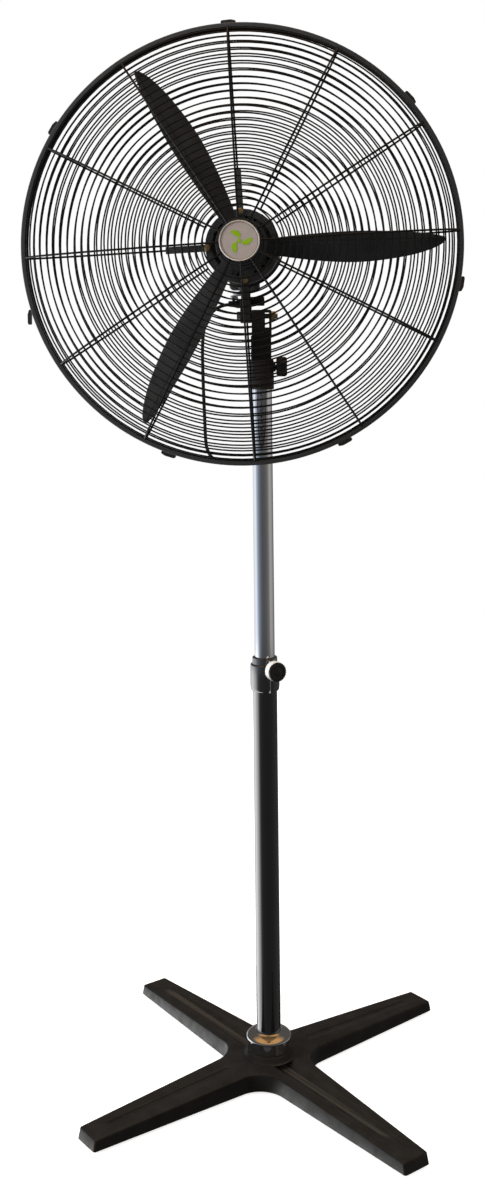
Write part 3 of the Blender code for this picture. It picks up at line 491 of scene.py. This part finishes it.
def base_casting():
    """The cross-shaped foot with its grooves, and the boss that holds the tube."""
    def loop(inset, rise=None, level=0.0, end_inset=0.0):
        return [(COLUMN_X + p.x, p.y, level if rise is None else leg_height(p.length) + rise)
                for p in leg_outline(inset, end_inset)]

    loops = [loop(0.007, -0.0045), loop(0.006, level=0.005), loop(0.0002, level=0.005),
             loop(0, level=0.0054), loop(0.0012, -0.0004, end_inset=0.0026),
             loop(0.0014, 0.0010, end_inset=0.0027), loop(0.0020, 0.0022, end_inset=0.0028),
             loop(0.0029, 0.0031, end_inset=0.0030), loop(0.0041, 0.0035, end_inset=0.0030),
             loop(0.0080, 0.0035, end_inset=0.0030), loop(0.0140, 0.0035, end_inset=0.0030),
             loop(0.0200, 0.0035, end_inset=0.0030)]
    casting = put("base_casting_fine", loft(loops), None, cast_black, sharp=50,
                  weighted=False)
    cut(casting, gather(leg_groove(number) for number in range(4)))
    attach(casting, "stand")
    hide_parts("base_casting")
    put("base_boss", turned([(0, 0.014), (0.032, 0.014), (0.032, 0.031), (0.0530, 0.0370),
                             (0.0505, 0.0380), (0.0488, 0.0394), (0.0470, 0.0424), (0.0452, 0.0452),
                             (0.0436, 0.0470), (0.0422, 0.0479), (0.0410, 0.0481), (0.0242, 0.0481),
                             (0.0242, 0.030), (0, 0.030)], COLUMN), "stand", cast_black)


def column():
    """The trim ring, the black tube and the chrome tube that slides in it."""
    ring = [(0.0394, 0.0485), (0.0401, 0.0487), (0.0405, 0.0494), (0.0406, 0.0510),
            (0.0405, 0.0530), (0.0405, 0.0680), (0.0408, 0.0688), (0.0416, 0.0692),
            (0.0430, 0.0698), (0.0440, 0.0706), (0.0445, 0.0715), (0.0446, 0.0726),
            (0.0444, 0.0738), (0.0436, 0.0752), (0.0420, 0.0768), (0.0400, 0.0781),
            (0.0370, 0.0795), (0.0335, 0.0807), (0.0300, 0.0816), (0.0270, 0.0824),
            (0.0260, 0.0834), (0.0252, 0.0839), (0.0241, 0.0840), (0.0241, 0.0806),
            (0.0335, 0.0788), (0.0374, 0.0762), (0.0378, 0.0485)]
    put("trim_ring_fine", turned(ring, COLUMN, ring=True), "stand", chrome, ["base_trim_ring"],
        sharp=60)
    outer = [(0.0219, 0.0283), (TUBE_R, 0.0223), (TUBE_R, 0.8055), (0.0235, 0.8060),
             (0.0219, 0.8060)]
    put("outer_tube_fine", turned(outer, COLUMN, ring=True), "stand", tube_black, ["outer_tube"])
    inner = [(0.0181, 0.655), (MAST_R, 0.655), (MAST_R, 1.400), (0.0181, 1.400)]
    put("inner_tube_fine", turned(inner, COLUMN, ring=True), "mast", chrome, ["inner_tube"])


def height_lock():
    """The collar on top of the black tube, and the knob that clamps the chrome tube in it."""
    facing, knob_z, shoulder = radians(-60), 0.8025, 0.8096
    aim = Vector((cos(facing), sin(facing), 0))
    spot = (COLUMN_X, 0, knob_z)
    collar = [(0.0241, 0.757), (0.0256, 0.757), (0.0266, 0.7576), (0.0277, 0.7592),
              (0.0283, 0.7614), (0.0286, 0.7650), (0.0286, shoulder - 0.0022),
              (0.0282, shoulder - 0.0010), (0.0272, shoulder), (0.0254, shoulder + 0.0004),
              (0.0248, shoulder + 0.0012), (0.0247, 0.8218), (0.0242, 0.8226), (0.0234, 0.8230),
              (0.0202, 0.8230), (0.0202, 0.8063), (0.0241, 0.8063)]
    put("collar_fine", turned(collar, COLUMN, ring=True), "stand", collar_black, ["height_collar"])
    turn = Matrix.Translation(COLUMN) @ Matrix.Rotation(facing, 4, "Z")
    rib = loft([[(x, y, z) for x, y in ((0.0255, -0.0062), (0.0318, -0.0050), (0.0330, -0.0030),
                                        (0.0330, 0.0030), (0.0318, 0.0050), (0.0255, 0.0062))]
                for z in (0.757, 0.7585, 0.8195, 0.8215)])
    put("collar_rib", move(rib, turn), "stand", collar_black, bevel=0.0008)
    put("collar_boss", turned([(0.0045, 0.0260), (0.0115, 0.0260), (0.0110, 0.0330),
                               (0.0104, 0.0338), (0.0045, 0.0338)], spot, aim, 64, True), "stand",
        plastic_black)
    # The spacer is white: partly its own colour, partly a painted highlight.
    put("spacer_fine", turned([(0.0044, 0.0342), (0.0178, 0.0342), (0.0186, 0.0345),
                               (0.0190, 0.0354), (0.0190, 0.0476), (0.0186, 0.0484),
                               (0.0178, 0.0487), (0.0044, 0.0487)], spot, aim, 72, True), "stand",
        spacer_white_and_highlight, ["knob_spacer"])
    profile = [(0, 0.0202), (0.0040, 0.0202), (0.0040, 0.0490), (0.0178, 0.0490), (0.0186, 0.0493),
               (0.0190, 0.0500), (0.0190, 0.0524), (0.0186, 0.0534), (0.0172, 0.0541),
               (0.0135, 0.0543), (0.0127, 0.0537), (0.0090, 0.0535), (0.0080, 0.0540),
               (0.0050, 0.0545), (0, 0.0547)]
    knob = turned(profile)
    grip_r, grip_start, grip_depth, grooves = 0.0150, 0.0488, 0.045, 24
    for vert in knob.verts:
        if vert.co.xy.length > grip_r and vert.co.z > grip_start:
            angle = atan2(vert.co.y, vert.co.x)
            vert.co.xy *= 1 - grip_depth * (0.5 + 0.5 * cos(grooves * angle))
    move(knob, Matrix.Translation(spot) @ Z.rotation_difference(aim).to_matrix().to_4x4())
    put("height_knob_fine", knob, "height_knob", plastic_black, ["height_knob"])


# Guards

RIM_R = 0.3985
RING_WIRE, RIM_WIRE, EYE_WIRE, SPOKE_WIRE = 0.0015, 0.0021, 0.0017, 0.0019  # radii
SPOKES, FIRST_SPOKE = 12, radians(3)
FRONT_RADII = (0.066, 0.0795, 0.0912, 0.1037, 0.1164, 0.1290, 0.1415, 0.1540, 0.1665, 0.1791,
               0.1917, 0.2044, 0.2172, 0.2302, 0.2434, 0.2572, 0.2718, 0.2846, 0.2975, 0.3125,
               0.3268, 0.3405, 0.3523, 0.3660, 0.3765, 0.3860, 0.3930)
REAR_RADII = (0.0765, 0.0890, 0.1015, 0.1140, 0.1265, 0.1390, 0.1515, 0.1640, 0.1765, 0.1890,
              0.2015, 0.2140, 0.2265, 0.2390, 0.2515, 0.2640, 0.2765, 0.2890, 0.3015, 0.3140,
              0.3265, 0.3390, 0.3515, 0.3640, 0.3765, 0.3880)


def dome(radius, rim_y, depth):
    """Where a spoke of a bowed guard lies along Y, at a distance from the axis."""
    return rim_y + depth * sqrt(max(0.0, 1 - (radius / RIM_R) ** 2))


def guard(name, node, radii, first, rim_y, depth, offset, eye=None):
    """Rings of wire on spokes. The rings are offset, to lie on the spokes' inner side."""
    bm = bmesh.new()

    def ring(radius, y, wire, sides, steps):
        tube(bm, [polar(radius, y, 2 * pi * i / steps) for i in range(steps)], wire, sides,
             closed=True)

    for radius in radii:
        ring(radius, dome(radius, rim_y, depth) + offset, RING_WIRE, 6, 120)
    ring(RIM_R, rim_y, RIM_WIRE, 8, 144)
    if eye:
        ring(eye, dome(eye, rim_y, depth), EYE_WIRE, 6, 48)
    for number in range(SPOKES):
        angle = FIRST_SPOKE + number * 2 * pi / SPOKES
        points = []
        for step in range(29):
            radius = first + (RIM_R - first) * sin(0.5 * pi * step / 28)
            points.append(polar(radius, dome(radius, rim_y, depth), angle))
        tube(bm, points, SPOKE_WIRE, 8)
    put(name, bm, "head", wire_black, [node], sharp=80)


def guards():
    """Both wire guards, and the sheet band that holds their rims together."""
    guard("front_wires", "front_guard", FRONT_RADII, 0.026, rim_y=-0.2134, depth=-0.084,
          offset=0.0026, eye=0.030)
    guard("rear_wires", "rear_guard", REAR_RADII, 0.0765, rim_y=-0.1886, depth=0.030,
          offset=-0.0022)
    front, back, lip, outer = -0.219, -0.183, 0.3975, 0.4055
    inner = outer - 0.0025
    profile = [(lip, front + 0.0004), (lip + 0.0006, front), (outer - 0.0020, front),
               (outer - 0.0006, front + 0.0006), (outer, front + 0.0022),
               (outer - 0.0004, front + 0.0040), (outer - 0.0004, back - 0.0040),
               (outer, back - 0.0022), (outer - 0.0006, back - 0.0006), (outer - 0.0020, back),
               (lip + 0.0006, back), (lip, back - 0.0004), (lip, back - 0.0018),
               (inner, back - 0.0018), (inner, front + 0.0018), (lip, front + 0.0018)]
    put("band_fine", turned(profile, HUB, Y, 180, True), "head", band_grey, ["guard_band"],
        sharp=50)


# Rotor

BLADE_ROOT, BLADE_TIP, BLADE_THICK, BLADE_Y = 0.0474, 0.3745, 0.0018, -0.201
BLADE_STATIONS = 56
FIRST_BLADE, ROOT_PITCH, TWIST = radians(1), radians(30), radians(13)
BLADE_WIDTHS = (
    (0.047, 0.0260), (0.080, 0.0360), (0.114, 0.0440), (0.160, 0.0520), (0.210, 0.0560),
    (0.250, 0.0535), (0.284, 0.0480), (0.320, 0.0390), (0.354, 0.0240),
)


def blade_width(radius, tip):
    """Width of a blade seen from the front: a smooth curve through the widths, then a round tip."""
    if radius >= BLADE_WIDTHS[-1][0]:
        last, width = BLADE_WIDTHS[-1]
        return width * sqrt(max(0.0, (tip - radius) / (tip - last)))
    slopes = [(d[1] - b[1]) / (d[0] - b[0]) for b, d in zip(BLADE_WIDTHS, BLADE_WIDTHS[1:])]
    ends = [slopes[0], *((p + q) / 2 for p, q in zip(slopes, slopes[1:])), -0.57]
    for i, ((low, before), (high, after)) in enumerate(zip(BLADE_WIDTHS, BLADE_WIDTHS[1:])):
        if radius <= high:
            span, t = high - low, max(0.0, (radius - low) / (high - low))
            rise = 3 * t * t - 2 * t ** 3
            bend_in, bend_out = t ** 3 - 2 * t * t + t, t ** 3 - t * t
            bends = bend_in * ends[i] + bend_out * ends[i + 1]
            return (1 - rise) * before + rise * after + span * bends


def blade(number, angle):
    """A long twisted leaf with a rounded tip and a crease that runs its whole length."""
    wide, narrow = 0.68, 0.32  # shares of the width on each side of the crease
    parts = [round(0.04 * i - wide, 4) for i in range(26)]
    crease_depth, ridge_depth = 0.0042, 0.0016
    count = len(parts)
    root_r = BLADE_ROOT + 0.0003
    bm = bmesh.new()
    rows = []
    for step in range(BLADE_STATIONS + 1):
        share = sin(0.5 * pi * step / BLADE_STATIONS) ** 1.15
        radius = root_r + share * (BLADE_TIP - root_r)
        along = (radius - BLADE_ROOT) / (BLADE_TIP - BLADE_ROOT)
        chord = max(blade_width(radius, BLADE_TIP), 0.0008)
        pitch = ROOT_PITCH - TWIST * share
        row = []
        for side in (1, -1):
            for part in parts:
                lateral = part * chord
                reach = radius
                if along < 0.12:  # the root follows the hub's round side
                    hub_gap = root_r - sqrt((BLADE_ROOT + 0.0005) ** 2 - lateral ** 2)
                    reach = radius - (1 - along / 0.12) * hub_gap
                edge = min(1.0, (part + wide) / 0.05, (narrow - part) / 0.05)
                crease = crease_depth * (1 - abs(part) / wide)
                crease -= ridge_depth * max(0.0, 1 - abs(part) / 0.045)
                skin = 0.5 * side * BLADE_THICK * (0.35 + 0.65 * edge)
                depth = -lateral * tan(pitch) - crease + skin
                row.append(bm.verts.new((reach, BLADE_Y + depth, lateral)))
        rows.append(row)
    for low, high in zip(rows, rows[1:]):
        for i in range(count - 1):
            bm.faces.new((low[i], low[i + 1], high[i + 1], high[i]))
            bm.faces.new((low[count + i], high[count + i], high[count + i + 1], low[count + i + 1]))
        bm.faces.new((low[0], high[0], high[count], low[count]))
        bm.faces.new((low[count - 1], low[2 * count - 1], high[2 * count - 1], high[count - 1]))
    for row in (rows[0], rows[-1]):
        for i in range(count - 1):
            bm.faces.new((row[i], row[i + 1], row[count + i + 1], row[count + i]))
    move(bm, round_hub(angle))
    put(f"blade_{number}_fine", bm, "rotor", blade_grey, [f"blade_{number}"],
        sharp=28)


def rotor():
    """Three blades and the hub, whose front steps forward in rings."""
    for number in range(3):
        blade(number + 1, FIRST_BLADE + number * 2 * pi / 3)
    profile = [(0.0063, -0.1830), (0.0460, -0.1830), (0.0470, -0.1836), (0.0474, -0.1848),
               (0.0474, -0.2175), (0.0470, -0.2190), (0.0462, -0.2200)]
    radius, y, ring_pitch, ring_rise = 0.0445, -0.2206, 0.0048, 0.0017
    while radius > 0.0155:
        profile += [(radius, y), (radius - 0.0012, y - 0.0009), (radius - 0.0026, y - 0.0009),
                    (radius - 0.0036, y)]
        radius -= ring_pitch
        y -= ring_rise
    profile += [(0.0120, -0.2322), (0.0063, -0.2325)]
    put("hub_fine", turned(profile, HUB, Y, 96, True), "rotor", blade_grey, ["fan_hub"])


# Motor

MOTOR_R = 0.070
MOTOR_LIP_R = MOTOR_R - 0.0006


def front_shield():
    """The motor's front end cover, with cooling slots between its four bolts."""
    front, back = -0.160, -0.118
    profile = [(0.0080, front + 0.002), (0.0200, front), (0.0440, front), (0.0450, front + 0.0008),
               (0.0490, front + 0.0008), (0.0500, front), (0.0625, front), (0.0665, front + 0.0010),
               (0.0690, front + 0.0034), (MOTOR_R, front + 0.0070), (MOTOR_R, back - 0.0050),
               (MOTOR_LIP_R, back - 0.0046), (MOTOR_LIP_R, back), (0.0620, back),
               (0.0620, front + 0.0070), (0.0225, front + 0.0070), (0.0225, front + 0.0180),
               (0.0164, front + 0.0180), (0.0164, front + 0.0050), (0.0080, front + 0.0050)]
    shield = put("shield_fine", turned(profile, HUB, Y, 120, True), None, motor_black)
    slots = []
    for degrees in range(9, 369, 18):
        if all(abs((degrees - 93 - 90 * bolt) % 360) >= 10 for bolt in range(4)):
            slot = block((0.0512, front - 0.010, -0.0017), (0.0578, front + 0.012, 0.0017))
            slots.append(move(slot, round_hub(radians(degrees))))
    cut(shield, gather(slots))
    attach(shield, "head")
    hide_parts("motor_front_shield")


def motor():
    """The rear end cover with its ribs, the stator's sheets between the covers, and the bolts."""
    body = [(0.0075, -0.0045), (0.0164, -0.0045), (0.0164, -0.0190), (0.0600, -0.0190),
            (0.0620, -0.048), (MOTOR_LIP_R, -0.048), (MOTOR_LIP_R, -0.0432), (MOTOR_R, -0.0428),
            (MOTOR_R, 0.0120), (0.0692, 0.0158), (0.0670, 0.0200), (0.0620, 0.0262),
            (0.0560, 0.0310), (0.0500, 0.0338), (0.0440, 0.0350), (0.0075, 0.0350)]
    put("rear_shield_fine", turned(body, HUB, Y, 120, True), "head", motor_black,
        ["motor_rear_shield"])

    low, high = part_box("stator_core")
    bore, edge, sheets = 0.0365, (high[0] - low[0]) / 2, 22
    pitch = (high[1] - low[1]) / sheets
    stack = [(bore, low[1])]
    for number in range(sheets):
        start = low[1] + number * pitch
        stack += [(edge - 0.0006, start), (edge, start + 0.2 * pitch), (edge, start + 0.8 * pitch)]
    stack += [(edge - 0.0006, high[1]), (bore, high[1])]
    put("stator_core_fine", turned(stack, HUB, Y, 120, True), "head", laminate, ["stator_core"])
    put("pivot_socket", turned([(0.0086, 1.5535), (0.0138, 1.5535), (0.0142, 1.5541),
                                (0.0150, 1.5600), (0.0165, 1.5640), (0.0200, 1.5680),
                                (0.0086, 1.5700)], segments=64, ring=True), "head", motor_black)
    ribs = [move(block((0.0670, -0.0400, -0.0010), (0.0712, 0.0080, 0.0010), 0.0004, 2),
                 round_hub(radians(7.5 + 15 * number))) for number in range(24)]
    put("rear_shield_ribs", gather(ribs), "head", motor_black)
    bolt = [(0, -0.1180), (0.0022, -0.1180), (0.0022, 0.0285), (0.0038, 0.0285), (0.0038, 0.0315),
            (0, 0.0315)]
    for number in range(4):
        place = polar(0.0585, 0, radians(48 + 90 * number))
        put(f"motor_bolt_{number + 1}", turned(bolt, place, Y, 12), "head", zinc,
            sharp=30)


def badge():
    """The round plate in the middle of the front guard, with a plain three-blade sign on it."""
    profile = [(0, -0.3005), (0.0340, -0.3005), (0.0352, -0.3010), (0.0360, -0.3022),
               (0.0362, -0.3040), (0.0359, -0.3050), (0.0352, -0.3055), (0.0344, -0.3053),
               (0.0338, -0.3046), (0.0335, -0.3040), (0, -0.3040)]
    put("badge_fine", turned(profile, HUB, Y, 120), "head", badge_face, ["badge"])
    rim = [(0.0336, -0.3041), (0.0339, -0.3048), (0.0345, -0.3055), (0.0352, -0.3057),
           (0.0360, -0.3052), (0.0364, -0.3040), (0.0362, -0.3022), (0.0352, -0.3030)]
    put("badge_rim", turned(rim, HUB, Y, 120, True), "head", badge_rim)
    line = [(0.0326, -0.3039), (0.0326, -0.3042), (0.0333, -0.3042), (0.0333, -0.3039)]
    put("badge_line", turned(line, HUB, Y, 96, True), "head", badge_line)
    leaves = []
    back, face = -0.3039, -0.3044
    for number in range(3):
        loops = []
        for y in (back, face):
            loop = []
            for side in (1, -1):
                for step in range(13):
                    share = step / 12 if side > 0 else 1 - step / 12
                    radius = 0.0048 + 0.0175 * share
                    sweep = radians(90 + 120 * number + 38 * share)
                    half = (0.24 + 0.20 * sin(pi * min(1, share * 1.02))) * (1 - 0.55 * share ** 3)
                    loop.append(polar(radius, y, sweep + side * half))
            loops.append(loop)
        leaves.append(loft(loops))
    put("badge_emblem", gather(leaves), "head", green)
    dot = [(0, back), (0.0034, back), (0.0034, face), (0.0030, face - 0.0001), (0, face - 0.0001)]
    put("badge_dot", turned(dot, HUB, Y, 48), "head", green)


def screws(name, profile, sides, heights):
    """Four screws at the corners of a cover."""
    corners = [(x, z) for z in heights for x in sides]
    for number, (x, z) in enumerate(corners, 1):
        put(f"{name}_{number}", turned(profile, (x, 0, z), Y, 20), "head", zinc)


def fittings():
    """Screws and marks that the rear of the head and the switch box show."""
    profile = [(0, 0.1040), (0.0034, 0.1040), (0.0034, 0.1052), (0.0026, 0.1060), (0, 0.1062)]
    screws("gearbox_screw", profile, (-0.0260, 0.0180), (1.5610, 1.6600))
    profile = [(0, 0.1322), (0.0028, 0.1322), (0.0028, 0.1334), (0.0020, 0.1340), (0, 0.1341)]
    screws("switch_screw", profile, (-0.0280, 0.0200), (1.5810, 1.6490))
    dial_x, dial_z, dial_r = -0.004, 1.615, 0.0198
    for number in range(4):
        angle, mark_r = radians(90 - 45 * number), 0.0012 + 0.0003 * number
        spot = (dial_x - dial_r * cos(angle), 0, dial_z + dial_r * sin(angle))
        mark = turned([(0, 0.1326), (mark_r, 0.1326), (mark_r, 0.1332), (0, 0.1332)], spot, Y, 20)
        put(f"speed_mark_{number}", mark, "head", mark_white)
    put("speed_pointer", block((-0.0048, 0.1472, 1.6160), (-0.0032, 0.1493, 1.6225), 0.0002),
        "speed_knob", mark_white)


# CAD nodes that are seen as they are. Those of steel and brass keep the frame's own materials.
FINISHES = (
    (cast_black, ("neck_yoke", "tilt_bracket")),
    (motor_black, ("gearbox_housing", "guard_spider")),
    (paint_black, tuple(f"guard_clip_{n}" for n in range(1, 8))),
    (plastic_black, ("collar_bush", "tube_glide", "cord_clip", "cord_gland", "neck_knob",
                     "switch_box", "oscillation_knob", "speed_knob")),
    (laminate, ("rotor_core",)),
    (rubber, tuple(f"foot_pad_{n}" for n in range(1, 5))),
    (sheath, ("mains_plug",)),
)


def finish_cad_nodes():
    for finish, members in FINISHES:
        for node in members:
            nodes[node].data.materials.clear()
            nodes[node].data.materials.append(finish)


# Studio

# Brightness round the object, as (share of the way round, colour). Low rays see the second.
LEVEL_SURROUND = ((0.00, (0.22, 0.22, 0.22)), (0.05, (0.30, 0.30, 0.30)),
                  (0.09, (1.00, 1.02, 1.04)), (0.16, (0.92, 0.95, 0.99)),
                  (0.21, (1.08, 1.12, 1.20)), (0.25, (0.95, 1.03, 1.14)),
                  (0.283, (0.53, 0.60, 0.69)), (0.32, (0.36, 0.41, 0.49)),
                  (0.376, (0.195, 0.217, 0.255)), (0.44, (0.11, 0.112, 0.12)),
                  (0.50, (0.10, 0.10, 0.10)), (0.58, (0.12, 0.12, 0.12)),
                  (0.66, (0.20, 0.195, 0.185)), (0.72, (0.46, 0.44, 0.41)),
                  (0.82, (0.36, 0.35, 0.33)), (0.90, (0.13, 0.12, 0.11)),
                  (1.00, (0.22, 0.22, 0.22)))
LOW_SURROUND = ((0.00, (0.08, 0.08, 0.08)), (0.07, (0.10, 0.10, 0.10)), (0.10, (1.6, 1.6, 1.6)),
                (0.17, (2.4, 2.4, 2.4)), (0.19, (2.5, 2.5, 2.5)), (0.23, (2.0, 2.0, 2.0)),
                (0.267, (1.65, 1.65, 1.67)), (0.30, (1.05, 1.05, 1.07)),
                (0.333, (0.32, 0.32, 0.32)), (0.362, (0.10, 0.10, 0.10)),
                (0.42, (0.06, 0.06, 0.06)), (0.55, (0.05, 0.05, 0.05)), (0.66, (0.06, 0.06, 0.06)),
                (0.78, (0.09, 0.09, 0.09)), (0.90, (0.09, 0.09, 0.085)), (1.00, (0.08, 0.08, 0.08)))
WARM, GOLDEN = (0.094, 0.086, 0.077), (0.62, 0.34, 0.13)
# Heights of a ray's direction over which the low, warm and golden parts take over
LOW_BAND, WARM_BAND, GOLDEN_BAND = (-0.2275, -0.2330), (0.0, 0.15), (0.70, 0.88)
FLOOR_BOUNCE, FLOOR_GLOW, FLOOR_R = (0.13, 0.115, 0.10), 0.78, 3.0


def surroundings():
    """White to the camera. To the rest, a dark room with a bright left wall and a warm ceiling."""
    world = bpy.data.worlds.new("studio")
    scene.world = world
    world.use_nodes = True
    tree = world.node_tree
    place = tree.nodes.new("ShaderNodeTexCoord")
    split = tree.nodes.new("ShaderNodeSeparateXYZ")
    tree.links.new(place.outputs["Generated"], split.inputs[0])

    def share(value, start, end):
        """0 at the start and 1 at the end."""
        node = tree.nodes.new("ShaderNodeMapRange")
        node.inputs["From Min"].default_value = start
        node.inputs["From Max"].default_value = end
        tree.links.new(value, node.inputs["Value"])
        return node.outputs["Result"]

    forward = tree.nodes.new("ShaderNodeMath")
    forward.operation = "MULTIPLY"
    forward.inputs[1].default_value = -1
    tree.links.new(split.outputs["Y"], forward.inputs[0])
    azimuth = tree.nodes.new("ShaderNodeMath")
    azimuth.operation = "ARCTAN2"
    tree.links.new(split.outputs["X"], azimuth.inputs[0])
    tree.links.new(forward.outputs[0], azimuth.inputs[1])
    around = share(azimuth.outputs[0], -pi, pi)

    def surround(stops):
        """Colours all the way round, from behind the object by its left, front and right."""
        ramp = tree.nodes.new("ShaderNodeValToRGB")
        elements = ramp.color_ramp.elements
        elements[0].position, elements[1].position = stops[0][0], stops[-1][0]
        elements[0].color, elements[1].color = (*stops[0][1], 1), (*stops[-1][1], 1)
        for position, colour in stops[1:-1]:
            elements.new(position).color = (*colour, 1)
        tree.links.new(around, ramp.inputs["Fac"])
        return ramp.outputs["Color"]

    height = split.outputs["Z"]
    level, low = surround(LEVEL_SURROUND), surround(LOW_SURROUND)
    room = mixed(tree, share(height, *LOW_BAND), level, low)
    room = mixed(tree, share(height, *WARM_BAND), room, WARM)
    room = mixed(tree, share(height, *GOLDEN_BAND), room, GOLDEN)
    path = tree.nodes.new("ShaderNodeLightPath")
    seen = mixed(tree, path.outputs["Is Camera Ray"], room, (1, 1, 1))
    tree.links.new(seen, tree.nodes["Background"].inputs["Color"])
    scene.view_settings.view_transform = "Standard"


def stage_floor():
    """A floor that is white to the camera, throws back little light and isn't mirrored."""
    mat = material("studio_floor", (0.80, 0.80, 0.80), 0.9, vary=0.005, scale=3)
    tree = mat.node_tree
    shader = tree.nodes["Principled BSDF"]
    path = tree.nodes.new("ShaderNodeLightPath")
    seen = path.outputs["Is Camera Ray"]
    glow = tree.nodes.new("ShaderNodeMath")
    glow.operation = "MULTIPLY"
    glow.inputs[1].default_value = FLOOR_GLOW
    tree.links.new(seen, glow.inputs[0])
    colour = shader.inputs["Base Color"].links[0].from_socket
    tree.links.new(mixed(tree, seen, FLOOR_BOUNCE, colour), shader.inputs["Base Color"])
    shader.inputs["Emission Color"].default_value = (1, 1, 1, 1)
    tree.links.new(glow.outputs[0], shader.inputs["Emission Strength"])
    floor = bpy.data.objects.new("floor", bpy.data.meshes.new("floor"))
    bm = bmesh.new()
    bmesh.ops.create_circle(bm, cap_ends=True, segments=96, radius=FLOOR_R)
    bm.to_mesh(floor.data)
    bm.free()
    floor.data.materials.append(mat)
    floor.visible_glossy = False
    scene.collection.objects.link(floor)


def area(name, place, target, size, power, colour=(1, 1, 1)):
    """A soft light of a width and height, aimed at a target and not mirrored in the pieces."""
    light = bpy.data.lights.new(name, "AREA")
    light.shape = "RECTANGLE"
    light.size, light.size_y = size
    light.energy = power
    light.color = colour
    obj = bpy.data.objects.new(name, light)
    scene.collection.objects.link(obj)
    aim = Vector(target) - Vector(place)
    obj.matrix_world = Matrix.Translation(place) @ aim.to_track_quat("-Z", "Y").to_matrix().to_4x4()
    obj.visible_glossy = False


def studio():
    surroundings()
    stage_floor()
    area("key", (-2.6, -1.2, 1.9), (0, 0, 1.1), (0.5, 2.6), 90)
    area("fill", (2.6, -2.2, 2.4), (0, 0, 1.1), (0.9, 2.2), 40, (1.0, 0.96, 0.92))
    area("top", (0, -0.2, 4.2), (0, 0, 0.5), (2.5, 2.5), 60)
    area("back", (0.5, 3.2, 2.6), (0, 0, 1.0), (2.0, 1.6), 30)


set_camera()
mains_lead()
base_casting()
column()
height_lock()
guards()
rotor()
front_shield()
motor()
badge()
fittings()
finish_cad_nodes()
studio()
